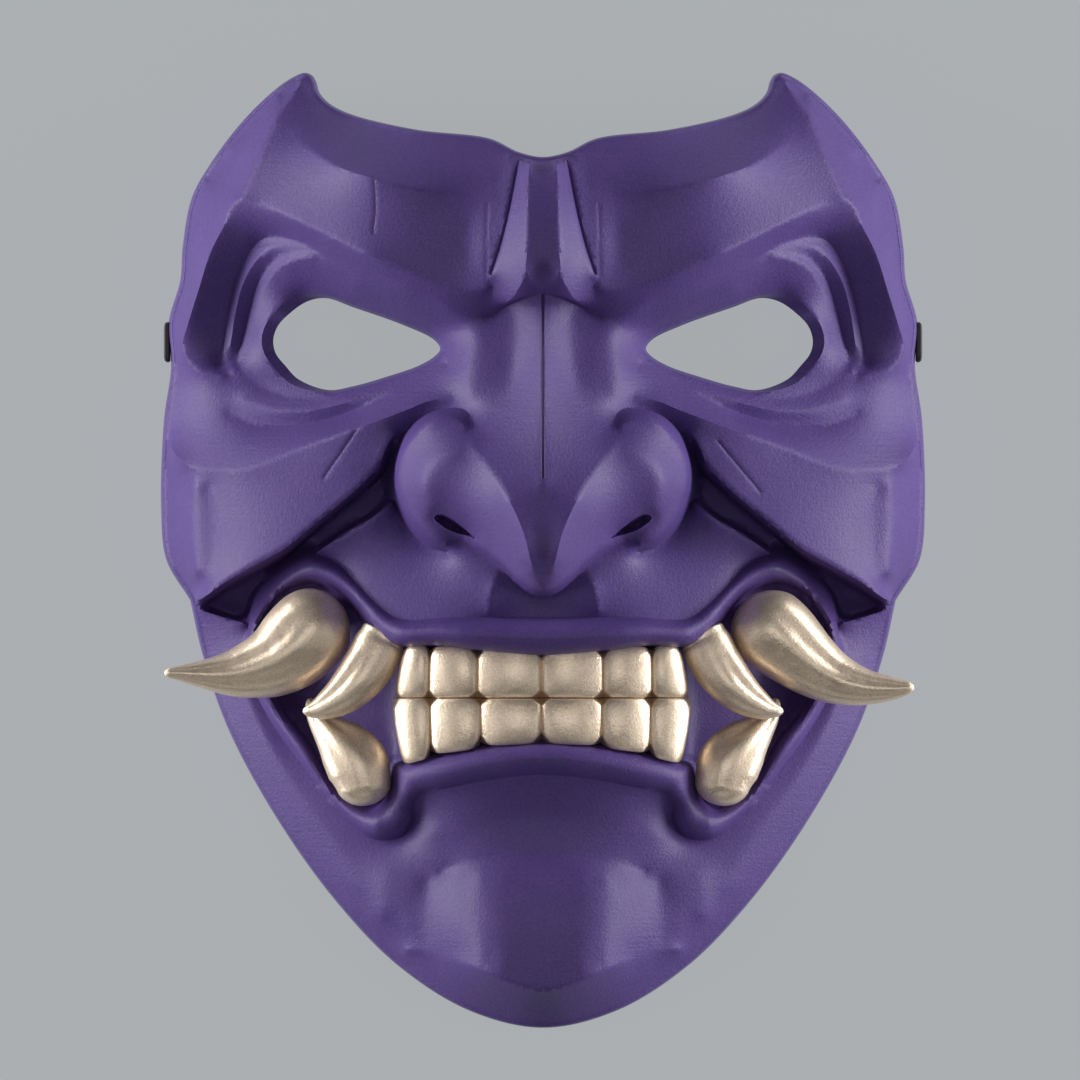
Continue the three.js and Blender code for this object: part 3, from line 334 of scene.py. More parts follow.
# Each kind of horn: its flutes as angle round it, width in degrees and depth, the length of its domed
# root, and its peg's radius and the height that the peg reaches down to.
HORN_KINDS = {
    "tusk": {"flutes": [(66, 13, 0.1), (112, 16, 0.06)], "dome": 9.5, "peg": (4, 28.6)},
    "upper_fang": {"flutes": [(64, 15, 0.14)], "dome": 0.01, "peg": None},
    "lower_fang": {"flutes": [(58, 17, 0.14), (112, 15, 0.08)], "dome": 5, "peg": (3, 34.8)},
}
HORN_SIDES = 64
HORN_RINGS = 90
END_CROWDING = 0.6         # how far the rings crowd at both ends: 0 is evenly spaced
ROUND_TIP = 1.4            # length of the rounded tip
FLUTE_START = 16           # distance from the root at which the flutes are at full depth
LEAST_RADIUS = 0.05        # of the ring next to each end's point
STATION_STEPS = 16         # points on the curve from one station to the next
PEG_SIDES = 32

# The strap tabs, in metres like the boxes that the frame gives.
TAB_FOOT = 0.8 * MM        # how far the tab reaches into the side wall
TAB_CORNER = 2.0 * MM      # radius of its corners
TAB_CORNER_STEPS = 6
TAB_BEVEL = 0.35 * MM
TAB_FACE_INSET = 1.5 * MM  # how far in from the outline the flat face begins
TAB_TAPER = 0.45           # share of its half thickness that the outer face falls at both ends

# Each kind of piece is shaded smooth over edges up to this many degrees.
SHELL_SMOOTH = 50
TEETH_SMOOTH = 60
HORN_SMOOTH = 80
TAB_SMOOTH = 30


def mirror(points):
    """The same points on the other side of the middle plane."""
    return np.asarray(points, float) * (-1, 1, 1)


def unit(rows):
    """Rows of numbers brought to length 1."""
    return rows / np.linalg.norm(rows, axis=1)[:, None]


def way_along(points):
    """How far along a row of points each one lies."""
    return np.concatenate([[0], np.cumsum(np.linalg.norm(np.diff(points, axis=0), axis=1))])


def curve_through(points, steps):
    """Dense points on a centripetal Catmull-Rom curve, from the second point to the last but one."""
    dense = []
    for p0, p1, p2, p3 in zip(points, points[1:], points[2:], points[3:]):
        gaps = [np.linalg.norm((b - a)[:3]) for a, b in ((p0, p1), (p1, p2), (p2, p3))]
        t1, t2, t3 = np.cumsum([gap ** 0.5 for gap in gaps])
        t = np.linspace(t1, t2, steps, endpoint=False)[:, None]
        a1 = (t1 - t) / t1 * p0 + t / t1 * p1
        a2 = (t2 - t) / (t2 - t1) * p1 + (t - t1) / (t2 - t1) * p2
        a3 = (t3 - t) / (t3 - t2) * p2 + (t - t2) / (t3 - t2) * p3
        b1 = (t2 - t) / t2 * a1 + t / t2 * a2
        b2 = (t3 - t) / (t3 - t1) * a2 + (t - t1) / (t3 - t1) * a3
        dense.append((t2 - t) / (t2 - t1) * b1 + (t - t1) / (t2 - t1) * b2)
    return np.vstack([*dense, points[-2]])


def smooth_line(points, spacing, closed=False, count=None):
    """Points at even steps along a smooth curve through the given ones, seen along z."""
    ends = np.asarray(points, float)

    def beyond(last, before):
        return mirror(before) if last[0] == 0 and before[0] != 0 else 2 * last - before

    if closed:
        ends = np.vstack([ends[-1], ends, ends[:2]])
    else:
        ends = np.vstack([beyond(ends[0], ends[1]), ends, beyond(ends[-1], ends[-2])])
    dense = curve_through(ends, CURVE_STEPS)
    length = way_along(dense[:, :2])
    count = count or max(2, round(length[-1] / spacing))
    marks = np.linspace(0, length[-1], count + 1)
    if closed:
        marks = marks[:-1]
    return np.column_stack([np.interp(marks, length, axis) for axis in dense.T])


def close_loop(half):
    """A closed loop from its right half, whose two ends lie on the middle line."""
    return np.vstack([half, mirror(half[1:-1])[::-1]])


def shift_loop(loop, distance, reach=1):
    """A loop moved to its left in x and y, its direction taken over a few neighbours on each side."""
    along = unit(np.roll(loop, -reach, axis=0)[:, :2] - np.roll(loop, reach, axis=0)[:, :2])
    moved = loop.copy()
    moved[:, 0] -= along[:, 1] * distance
    moved[:, 1] += along[:, 0] * distance
    return moved


def inside(loop, places):
    """Which places lie within a closed loop, seen along z."""
    x, y = places[:, 0], places[:, 1]
    odd = np.zeros(len(places), bool)
    for (ax, ay), (bx, by) in zip(loop[:, :2], np.roll(loop, 1, axis=0)[:, :2]):
        if ay != by:
            odd ^= ((ay > y) != (by > y)) & (x < (bx - ax) * (y - ay) / (by - ay) + ax)
    return odd


def tree_of(places):
    """A search tree over the x and y of some places."""
    tree = KDTree(len(places))
    for index, place in enumerate(places):
        tree.insert((place[0], place[1], 0), index)
    tree.balance()
    return tree


def gaps_to(tree, places):
    """Distance in x and y from each place to the nearest point of a tree."""
    return np.array([tree.find((place[0], place[1], 0))[2] for place in places])


def lattice(step):
    """A net of even triangles over the whole mask, alike on both halves."""
    rise = step * math.sin(math.pi / 3)
    rows = math.ceil(HALF_LENGTH / rise)
    places = []
    for row in range(-rows, rows + 1):
        offset = 0 if row % 2 == 0 else step / 2
        right = np.arange(offset, HALF_WIDTH, step)
        line = np.concatenate([-right[right > 0][::-1], right])
        places.append(np.column_stack([line, np.full(len(line), row * rise), np.zeros(len(line))]))
    return np.vstack(places)


def triangulate(places, loops):
    """Triangles within the first loop and outside the others. The places begin with the loops' points."""
    sides = []
    for loop in loops:
        first, count = len(sides), len(loop)
        sides += [(first + i, first + (i + 1) % count) for i in range(count)]
    flat = [Vector((place[0], place[1])) for place in places]
    made = delaunay_2d_cdt(flat, sides, [], 0, 1e-5)
    source = [ids[0] for ids in made[3]]
    triangles = np.array([[source[i] for i in face] for face in made[2]])
    middle = places[triangles][:, :, :2].mean(axis=1)
    kept = inside(loops[0], middle)
    for hole in loops[1:]:
        kept &= ~inside(hole, middle)
    triangles = triangles[kept]
    a, b, c = (places[triangles[:, k], :2] for k in range(3))
    turned = (b[:, 0] - a[:, 0]) * (c[:, 1] - a[:, 1]) < (b[:, 1] - a[:, 1]) * (c[:, 0] - a[:, 0])
    triangles[turned] = triangles[turned][:, ::-1]
    return triangles


def springs(places, triangles):
    """Links between the points of a net with their weights, and the area that each point holds."""
    rows, columns, weights = [], [], []
    area = np.zeros(len(places))
    for k in range(3):
        a, b, c = (triangles[:, (k + i) % 3] for i in range(3))
        u = places[a, :2] - places[c, :2]
        v = places[b, :2] - places[c, :2]
        cross = np.abs(u[:, 0] * v[:, 1] - u[:, 1] * v[:, 0]) + 1e-9
        weight = np.clip((u * v).sum(axis=1) / cross / 2, *LINK_WEIGHTS)
        rows += [a, b]
        columns += [b, a]
        weights += [weight, weight]
        area += np.bincount(c, cross / 6, minlength=len(places))
    return np.concatenate(rows), np.concatenate(columns), np.concatenate(weights), area


def solve(apply, right, start, scale, limit):
    """Conjugate gradients, scaled by the diagonal."""
    x = start.copy()
    rest = right - apply(x)
    near = rest / scale
    step = near.copy()
    size = rest @ near
    goal = size * SOLVED + 1e-12
    for _ in range(limit):
        if size < goal:
            break
        moved = apply(step)
        share = size / (step @ moved)
        x += share * step
        rest -= share * moved
        near = rest / scale
        size, before = rest @ near, size
        step = near + size / before * step
    return x


def blur_size(gap):
    """How far the skin is rounded at a distance from the nearest carved line."""
    soft = np.clip((gap - SOFT_BLUR_GAPS[0]) / (SOFT_BLUR_GAPS[1] - SOFT_BLUR_GAPS[0]), 0, 1)
    far = np.clip((gap - FAR_BLUR_GAPS[0]) / (FAR_BLUR_GAPS[1] - FAR_BLUR_GAPS[0]), 0, 1)
    return SHARP_BLUR + (SOFT_BLUR - SHARP_BLUR) * soft + (FAR_BLUR - SOFT_BLUR) * far


def stretch_skin(places, triangles, fixed, sharp_gap):
    """Heights of a skin stretched over the fixed points, a little blown up, then rounded."""
    rows, columns, weights, area = springs(places, triangles)
    count = len(places)
    total = np.bincount(rows, weights, minlength=count) + 1e-9

    def pull(z):
        return total * z - np.bincount(rows, weights * z[columns], minlength=count)

    held = np.where(fixed, places[:, 2], 0.0)
    loose = ~fixed
    right = np.where(loose, CROWN * area - pull(held), 0.0)
    z = held + solve(lambda v: np.where(loose, pull(v * loose), v), right,
                     np.where(loose, MEAN_HEIGHT, 0.0), np.where(loose, total, 1.0), MOST_PULLS)
    mass = area * 2 * BLUR_PASSES / blur_size(sharp_gap) ** 2
    for _ in range(BLUR_PASSES):
        z = solve(lambda v: mass * v + pull(v), mass * z, z, mass + total, MOST_ROUNDINGS)
    return z


def rim_height(loop):
    """Height of the rim: flat along the cheeks and temples, arched over the brow and under the chin."""
    x, y = loop[:, 0], loop[:, 1]
    t = np.clip((y - BROW_LIFT_FROM) / BROW_LIFT_LENGTH, 0, 1)
    brow = t * t * (3 - 2 * t) * np.clip(1 - (x / BROW_ARCH) ** 2, 0, None)
    chin = np.clip((CHIN_LIFT_FROM - y) / (CHIN_END + CHIN_LIFT_FROM), 0, 1) ** 1.5
    return BROW_LIFT * brow + CHIN_LIFT * chin


def mouth_floor(x):
    """Height of the mouth's floor behind the teeth."""
    return MOUTH_FLOOR - MOUTH_CURVE * x * x


def mouth_loops():
    """The mouth's edge, and the floor's edge a little inside it."""
    mouth = close_loop(smooth_line(MOUTH, LINE_STEP))
    floor_edge = shift_loop(mouth, -RECESS_WALL, EDGE_REACH)
    drop = mouth_floor(CORNER_FROM) - CORNER_SLOPE * (np.abs(floor_edge[:, 0]) - CORNER_FROM)
    floor_edge[:, 2] = np.minimum(mouth_floor(floor_edge[:, 0]), np.maximum(drop, CORNER_FLOOR))
    return mouth, floor_edge


def at_height(loop, z):
    """A copy of a loop at another height, one number or one for each point."""
    moved = loop.copy()
    moved[:, 2] = z
    return moved


def add_object(name, data):
    """A new object in the scene."""
    made = bpy.data.objects.new(name, data)
    bpy.context.scene.collection.objects.link(made)
    return made


def mesh_piece(name, vertices, faces, smooth_angle):
    """A shown piece from points in millimetres, smooth except over edges sharper than the angle."""
    mesh = bpy.data.meshes.new(name)
    corners = [tuple(v) for v in np.asarray(vertices) * MM]
    mesh.from_pydata(corners, [], [tuple(int(i) for i in face) for face in faces])
    mesh.validate()
    mesh.shade_smooth()
    mesh.set_sharp_from_angle(angle=math.radians(smooth_angle))
    return add_object(name, mesh)


def lip_roll(places, mouth):
    """Rise of the rolled lips, round between the mouth's edge and the crease around it."""
    creases = [smooth_line(SHARP_LINES[name], LIP_STEP) for name in ("lip_crease", "lower_lip_crease")]
    corner = smooth_line([creases[0][-1], LIP_CORNER, creases[1][-1]], LIP_STEP)
    outer = np.vstack([*creases, corner])
    outer = np.vstack([outer, mirror(outer)])
    ring = close_loop(np.vstack([creases[0][:-1], corner[:-1], creases[1][::-1]]))
    rise = np.zeros(len(places))
    picked = np.flatnonzero(inside(ring, places) & ~inside(mouth, places))
    from_mouth = np.maximum(gaps_to(tree_of(mouth), places[picked]) - MOUTH_MARGIN, 0)
    from_crease = np.maximum(gaps_to(tree_of(outer), places[picked]) - CREASE_MARGIN, 0)
    share = (from_crease - from_mouth) / np.maximum(from_crease + from_mouth, 0.01)
    width = np.clip((from_crease + from_mouth) / LIP_WIDTH, 0, 1)
    rise[picked] = LIP_RISE * width * (1 - share ** 2) ** LIP_ROUND
    return rise


class Spacing:
    """Takes points one by one, as long as each keeps its distance from those before it."""

    def __init__(self, gap):
        self.gap = gap
        self.cells = {}

    def takes(self, place):
        """Whether the place is far enough from those before it, which it then joins."""
        column, row = (math.floor(value / self.gap) for value in place[:2])
        for i in (-1, 0, 1):
            for j in (-1, 0, 1):
                for other in self.cells.get((column + i, row + j), ()):
                    if math.hypot(place[0] - other[0], place[1] - other[1]) < self.gap:
                        return False
        self.cells.setdefault((column, row), []).append(place)
        return True


def both_halves(line):
    """A line of the right half and its mirror image, or the line alone where it runs down the middle."""
    return [line] if np.abs(line[:, 0]).max() < 0.01 else [line, mirror(line)]


def flat_line(points, spacing, closed=False):
    """A smooth line whose points are given by x and y alone."""
    return smooth_line([(*point, 0) for point in points], spacing, closed)


def detail_points():
    """Rows of points along the cuts and round the nostrils, which are finer than the net."""
    rows = []
    for cut in CUTS.values():
        line = flat_line(cut["line"], LINE_STEP)
        along = unit(np.gradient(line, axis=0))
        across = np.column_stack([-along[:, 1], along[:, 0]])
        for share in CUT_ROWS:
            row = line.copy()
            row[:, :2] += across * share * cut["wide"]
            rows += [row, mirror(row)] if cut["both"] else [row]
    nostril = flat_line(NOSTRIL, NOSTRIL_STEP, closed=True)
    for inset in NOSTRIL_ROWS:
        row = shift_loop(nostril, -inset)
        rows += [row, mirror(row)]
    spacing = Spacing(DETAIL_GAP)
    return np.array([place for row in rows for place in row if spacing.takes(place)])


def carve_details(places):
    """Lowers the skin along the cuts and in the nostrils."""
    for cut in CUTS.values():
        line = flat_line(cut["line"], CUT_STEP)
        line = np.vstack([line, mirror(line)]) if cut["both"] else line
        reach = gaps_to(tree_of(line), places)
        places[:, 2] -= cut["deep"] * np.exp(-(reach / cut["wide"]) ** 2)
    folded = places.copy()
    folded[:, 0] = np.abs(folded[:, 0])
    within = inside(flat_line(NOSTRIL, NOSTRIL_STEP, closed=True), folded)
    gap = gaps_to(tree_of(flat_line(NOSTRIL, NOSTRIL_FINE_STEP, closed=True)), folded)
    pocket = NOSTRIL_DEPTH * np.clip(gap / NOSTRIL_WALL, 0, 1) * within
    places[:, 2] -= pocket + NOSTRIL_DENT * np.exp(-(gap / NOSTRIL_DENT_REACH) ** 2)


def carve_front(crest, eye_fronts):
    """The front face's points and triangles. Its first points are the crest's, then the two eye holes'."""
    edges = [crest, *eye_fronts]
    mouth, floor_edge = mouth_loops()
    ridges = [smooth_line(line, LINE_STEP) for line in SHARP_LINES.values()]
    swells = [smooth_line(line, SOFT_STEP) for line in SOFT_LINES.values()]
    spacing = Spacing(LINE_GAP)
    for place in np.vstack(edges):
        spacing.takes(place)
    carved = []
    for line in [mouth, floor_edge] + [half for line in ridges + swells for half in both_halves(line)]:
        carved += [place for place in line[inside(crest, line)] if spacing.takes(place)]
    carved = np.array(carved)
    carved = carved[gaps_to(tree_of(crest), carved) > CREST_GAP]
    details = detail_points()
    details = details[gaps_to(tree_of(carved), details) > DETAIL_GAP]

    net = lattice(FRONT_STEP)
    net = net[inside(crest, net) & ~inside(eye_fronts[0], net) & ~inside(eye_fronts[1], net)]
    net = net[gaps_to(tree_of(np.vstack([*edges, carved, details])), net) > FRONT_STEP * NET_GAP]
    places = np.vstack([*edges, carved, details, net])
    triangles = triangulate(places, edges)

    fixed = np.arange(len(places)) < sum(len(part) for part in (*edges, carved))
    sharp = [mouth, floor_edge, *ridges]
    sharp_gap = gaps_to(tree_of(np.vstack([*edges, *sharp, *map(mirror, sharp)])), places)
    height = stretch_skin(places, triangles, fixed, sharp_gap)
    height[:len(crest)] = crest[:, 2]
    places[:, 2] = height + lip_roll(places, mouth)
    carve_details(places)
    return places, triangles


class Skin:
    """The shell's points and faces, gathered ring by ring."""

    def __init__(self, places, triangles):
        self.points = [places]
        self.faces = [triangles]
        self.total = len(places)

    def add(self, ring):
        """Adds points and says the first one's number."""
        self.points.append(ring)
        self.total += len(ring)
        return self.total - len(ring)

    def join(self, first, second, count, flip=False):
        """A band of faces between two rings of as many points."""
        i = np.arange(count)
        j = (i + 1) % count
        band = np.column_stack([first + i, first + j, second + j, second + i])
        self.faces.append(band[:, ::-1] if flip else band)

    def grow(self, last, rings, flip=False):
        """Adds rings, each joined to the one before, and says the last one's first number."""
        for ring in rings:
            new = self.add(ring)
            self.join(last, new, len(ring), flip)
            last = new
        return last


def side_wall(edge, rim):
    """Rings from the front's edge out and down to the rim, and in to the back."""
    top = edge[:, 2]
    rings = [at_height(shift_loop(edge, -inset, EDGE_REACH), top - drop) for inset, drop in EDGE_ROUNDING]
    inset, drop = EDGE_ROUNDING[-1]
    rise = RIM_ROUNDING[0][1]
    for share in WALL_SHARES:
        height = (top - drop) * (1 - share) + (rim + rise) * share
        rings.append(at_height(shift_loop(edge, -inset * (1 - share), EDGE_REACH), height))
    for inset, rise in RIM_ROUNDING:
        reach = EDGE_REACH if inset < 1 else RIM_REACH
        rings.append(at_height(shift_loop(edge, -inset, reach), rim + rise))
    return rings


def hollow_back(inner, eye_backs, samples):
    """The back face's points and triangles: the lowest that a ball of the wall's thickness reaches."""
    net = lattice(BACK_STEP)
    net = net[inside(inner, net) & ~inside(eye_backs[0], net) & ~inside(eye_backs[1], net)]
    edges = [inner, *eye_backs]
    net = net[gaps_to(tree_of(np.vstack(edges)), net) > BACK_STEP * BACK_GAP]
    under = np.vstack([*edges, net])
    tree = tree_of(samples)
    for place in under:
        found = tree.find_range((place[0], place[1], 0), WALL)
        place[2] = min(samples[i, 2] - math.sqrt(WALL * WALL - d * d) for _, i, d in found)
    return under, triangulate(under, edges)


def build_shell():
    """The face as one closed shell: carved front, hollow back, rim, side wall and eye walls."""
    top, side, jaw = [smooth_line(stretch, FRONT_STEP) for stretch in EDGE]
    edge = close_loop(np.vstack([top[:-1], side[:-1], jaw]))
    rim = rim_height(edge)
    crest = shift_loop(edge, -SIDE_DRAFT, EDGE_REACH)
    eye_front = smooth_line(EYE_FRONT, EYE_STEP, closed=True)
    eye_back = smooth_line([(*p, 0) for p in EYE_BACK], EYE_STEP, closed=True, count=len(eye_front))
    eye_fronts = [eye_front, mirror(eye_front)]
    eye_backs = [eye_back, mirror(eye_back)]

    places, triangles = carve_front(crest, eye_fronts)
    skin = Skin(places, triangles)
    count = len(edge)
    wall = side_wall(edge, rim)
    last = skin.grow(0, wall)

    inner = shift_loop(edge, -RIM_WIDTH - BACK_INSET, RIM_REACH)
    outside = wall[:len(EDGE_ROUNDING) + len(WALL_SHARES)]
    under, back = hollow_back(inner, eye_backs, np.vstack([places, *outside]))
    start = skin.add(under)
    skin.faces.append(back[:, ::-1] + start)
    half_way = shift_loop(edge, -RIM_WIDTH - BACK_INSET / 2, RIM_REACH)
    half_way = at_height(half_way, rim * 0.5 + under[:count, 2] * 0.5)
    skin.join(skin.grow(last, [half_way]), start, count)

    size = len(eye_front)
    for first, flip in ((count, True), (count + size, False)):
        upper = places[first:first + size]
        lower = under[first:first + size]
        last = skin.grow(first, [upper + (lower - upper) * share for share in EYE_WALL_SHARES], flip)
        skin.join(last, start + first, size, flip)

    faces = [tuple(face) for group in skin.faces for face in group]
    return mesh_piece("face_shell", np.vstack(skin.points), faces, SHELL_SMOOTH)


def build_teeth(name, joints, root, curve, bite):
    """Six rounded teeth side by side, cast as one bar with a flat back."""
    def root_line(x):
        return root + curve * x * x

    upper = root > bite
    columns = []
    for left, right in zip(joints, joints[1:]):
        count = round((right - left) / TOOTH_STEP)
        last = right == joints[-1]
        columns += [(left + (right - left) * i / count, i / count, left, right) for i in range(count + last)]
    shares = [0.5 - 0.5 * math.cos(math.pi * i / TOOTH_ROWS) for i in range(TOOTH_ROWS + 1)]
    front, behind = [], []
    for x, across, left, right in columns:
        side = abs(2 * across - 1)
        shoulder = (1 - side ** TOOTH_SQUARE) ** 0.5
        for share in shares:
            end = abs(2 * share - 1)
            tip = (1 - end ** TOOTH_SQUARE) ** 0.5
            outer = root_line(x) - (root_line(x) - root_line((left + right) / 2)) * ROOT_LEVEL
            outer -= ROOT_BOW * side ** 4 * (1 if upper else -1)
            y = outer + (bite - outer) * share
            face = TOOTH_FACE - TOOTH_CURVE * x * x
            swell = SIDE_SWELL * (1 - side ** 2) + END_SWELL * (1 - end ** 2)
            corner = min(1, max(0, side + end - CORNER_START) / CORNER_LENGTH)
            z = face - EDGE_DROP * (1 - shoulder) - EDGE_DROP * (1 - tip) + swell - CORNER_DROP * corner
            narrow = 1 - NARROWING * max(0, abs(x) - NARROW_FROM) / NARROW_LENGTH * (1 - share) ** 1.6
            front.append((x * narrow, y, z))
            behind.append((x * narrow, y, mouth_floor(x) + TOOTH_CLEARANCE))
    per = TOOTH_ROWS + 1
    count = len(front)
    faces = []
    for c in range(len(columns) - 1):
        for r in range(TOOTH_ROWS):
            a = c * per + r
            faces.append((a, a + 1, a + per + 1, a + per))
            faces.append((count + a, count + a + per, count + a + per + 1, count + a + 1))
        a = c * per
        faces.append((a, a + per, count + a + per, count + a))
        a += TOOTH_ROWS
        faces.append((a, count + a, count + a + per, a + per))
    for r in range(TOOTH_ROWS):
        faces.append((r, count + r, count + r + 1, r + 1))
        a = (len(columns) - 1) * per + r
        faces.append((a, a + 1, count + a + 1, count + a))
    if not upper:
        faces = [face[::-1] for face in faces]
    return mesh_piece(name, front + behind, faces, TEETH_SMOOTH)


def smooth_stations(stations):
    """Stations along the horn, closer at both ends, every value on the same smooth curve, and their marks."""
    values = np.array(stations, float)
    ends = np.vstack([2 * values[0] - values[1], values, 2 * values[-1] - values[-2]])
    dense = curve_through(ends, STATION_STEPS)
    length = way_along(dense[:, :3])
    share = 0.5 - 0.5 * np.cos(np.linspace(0, math.pi, HORN_RINGS))
    share = END_CROWDING * share + (1 - END_CROWDING) * np.linspace(0, 1, HORN_RINGS)
    marks = share * length[-1]
    return np.column_stack([np.interp(marks, length, axis) for axis in dense.T]), marks


def add_peg(vertices, faces, x, y, top, radius, bottom):
    """Adds the round peg under a horn's root, which reaches down into the shell."""
    first = len(vertices)
    turn = np.linspace(0, 2 * math.pi, PEG_SIDES, endpoint=False)
    circle = np.column_stack([x + radius * np.cos(turn), y + radius * np.sin(turn)])
    ends = [np.column_stack([circle, np.full(PEG_SIDES, z)]) for z in (bottom, top)]
    low, high = range(first, first + PEG_SIDES), range(first + PEG_SIDES, first + 2 * PEG_SIDES)
    faces = faces + [tuple(reversed(low)), tuple(high)]
    for k in range(PEG_SIDES):
        n = (k + 1) % PEG_SIDES
        faces.append((low[k], low[n], high[n], high[k]))
    return np.vstack([vertices, *ends]), faces


def build_horn(name, stations, mirrored, flutes, dome, peg):
    """A curved horn with shallow flutes along it and a domed root. Both ends close in a point."""
    rings, marks = smooth_stations(stations)
    if mirrored:
        rings[:, 0] *= -1
    along = unit(np.gradient(rings[:, :3], axis=0))
    across = unit(np.cross((0, 0, 1), along))
    lift = np.cross(along, across)
    if mirrored:
        across = -across
    vertices = []
    turn = np.linspace(0, 2 * math.pi, HORN_SIDES, endpoint=False)
    for ring, side, up, mark in zip(rings[1:-1], across[1:-1], lift[1:-1], marks[1:-1]):
        radius = np.ones(HORN_SIDES)
        for angle, wide, deep in flutes:
            away = (turn - math.radians(angle) + math.pi) % (2 * math.pi) - math.pi
            radius -= deep * min(mark / FLUTE_START, 1) ** 2 * np.exp(-(away / math.radians(wide)) ** 2)
        swell = math.sqrt(1 - (1 - min(mark / dome, 1)) ** 2)
        swell *= math.sqrt(1 - (1 - min((marks[-1] - mark) / ROUND_TIP, 1)) ** 2)
        wide, deep = max(ring[3] * swell, LEAST_RADIUS), max(ring[4] * swell, LEAST_RADIUS)
        vertices.append(ring[:3] + side * (np.cos(turn) * radius * wide)[:, None]
                        + up * (np.sin(turn) * radius * deep)[:, None])
    inner = len(vertices)
    vertices = np.vstack([*vertices, rings[0, :3], rings[-1, :3]])
    faces = []
    root, tip = inner * HORN_SIDES, inner * HORN_SIDES + 1
    for k in range(HORN_SIDES):
        n = (k + 1) % HORN_SIDES
        faces.append((root, n, k))
        faces.append((tip, root - HORN_SIDES + k, root - HORN_SIDES + n))
        for r in range(inner - 1):
            a = r * HORN_SIDES
            faces.append((a + k, a + n, a + HORN_SIDES + n, a + HORN_SIDES + k))
    if mirrored:
        faces = [face[::-1] for face in faces]
    if peg:
        x, y, top = stations[1][:3]
        vertices, faces = add_peg(vertices, faces, -x if mirrored else x, y, top, *peg)
    return mesh_piece(name, vertices, faces, HORN_SMOOTH)


def build_tab(name, side):
    """The dark strap tab: a plate with rounded corners and edges, its foot set into the side wall."""
    low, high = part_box(name)
    low.x -= TAB_FOOT if side > 0 else 0
    high.x += TAB_FOOT if side < 0 else 0
    centre = (low + high) / 2
    half = (high - low) / 2
    outline = []
    for sy, sz, start in ((1, 1, 0), (-1, 1, 90), (-1, -1, 180), (1, -1, 270)):
        for i in range(TAB_CORNER_STEPS + 1):
            angle = math.radians(start + 90 * i / TAB_CORNER_STEPS)
            y, z = sy * (half.y - TAB_CORNER), sz * (half.z - TAB_CORNER)
            outline.append((y, z, math.cos(angle), math.sin(angle)))
    rings = []
    for inset, x in ((TAB_FACE_INSET, -half.x), (TAB_BEVEL, -half.x), (0, -half.x + TAB_BEVEL),
                     (0, half.x - TAB_BEVEL), (TAB_BEVEL, half.x), (TAB_FACE_INSET, half.x)):
        reach = TAB_CORNER - inset
        ring = []
        for y, z, c, s in outline:
            along = (y + c * reach) / half.y
            taper = TAB_TAPER * half.x * along ** 4 if x * side > 0 else 0
            ring.append((centre.x + x - side * taper, centre.y + y + c * reach, centre.z + z + s * reach))
        rings.append(ring)
    count = len(outline)
    faces = [tuple(range(count))[::-1], tuple(range((len(rings) - 1) * count, len(rings) * count))]
    for r in range(len(rings) - 1):
        for k in range(count):
            n = (k + 1) % count
            faces.append((r * count + k, r * count + n, (r + 1) * count + n, (r + 1) * count + k))
    points = np.array([point for ring in rings for point in ring]) / MM
    return mesh_piece(f"{name}_tab", points, faces, TAB_SMOOTH)


# Materials. Colours are sRGB hex values. A mix's sockets 6 and 7 are its two colours, and its output 2
# is the colour between them.
def linear(hex_value):
    """An sRGB hex colour as linear RGBA."""
    channels = [int(hex_value[i:i + 2], 16) / 255 for i in (0, 2, 4)]
    return (*[c / 12.92 if c <= 0.04045 else ((c + 0.055) / 1.055) ** 2.4 for c in channels], 1)


def add_node(tree, kind, settings=None, **links):
    """One node with its settings, and its inputs set or linked by name, or by number as in _6."""
    node = tree.nodes.new(kind)
    for key, value in (settings or {}).items():
        setattr(node, key, value)
    for key, value in links.items():
        socket = node.inputs[int(key[1:])] if key[0] == "_" else node.inputs[key.replace("_", " ")]
        if isinstance(value, bpy.types.NodeSocket):
            tree.links.new(value, socket)
        else:
            socket.default_value = value
    return node


def new_material(name):
    """An empty material and its node tree."""
    material = bpy.data.materials.new(name)
    material.use_nodes = True
    tree = material.node_tree
    tree.nodes.clear()
    return material, tree


def per_mm(size):
    """Noise scale for features of a size in millimetres."""
    return 1 / (size * MM)


NOISE_RANGE = {"From_Min": 0.3, "From_Max": 0.7}    # where most of a noise's values lie


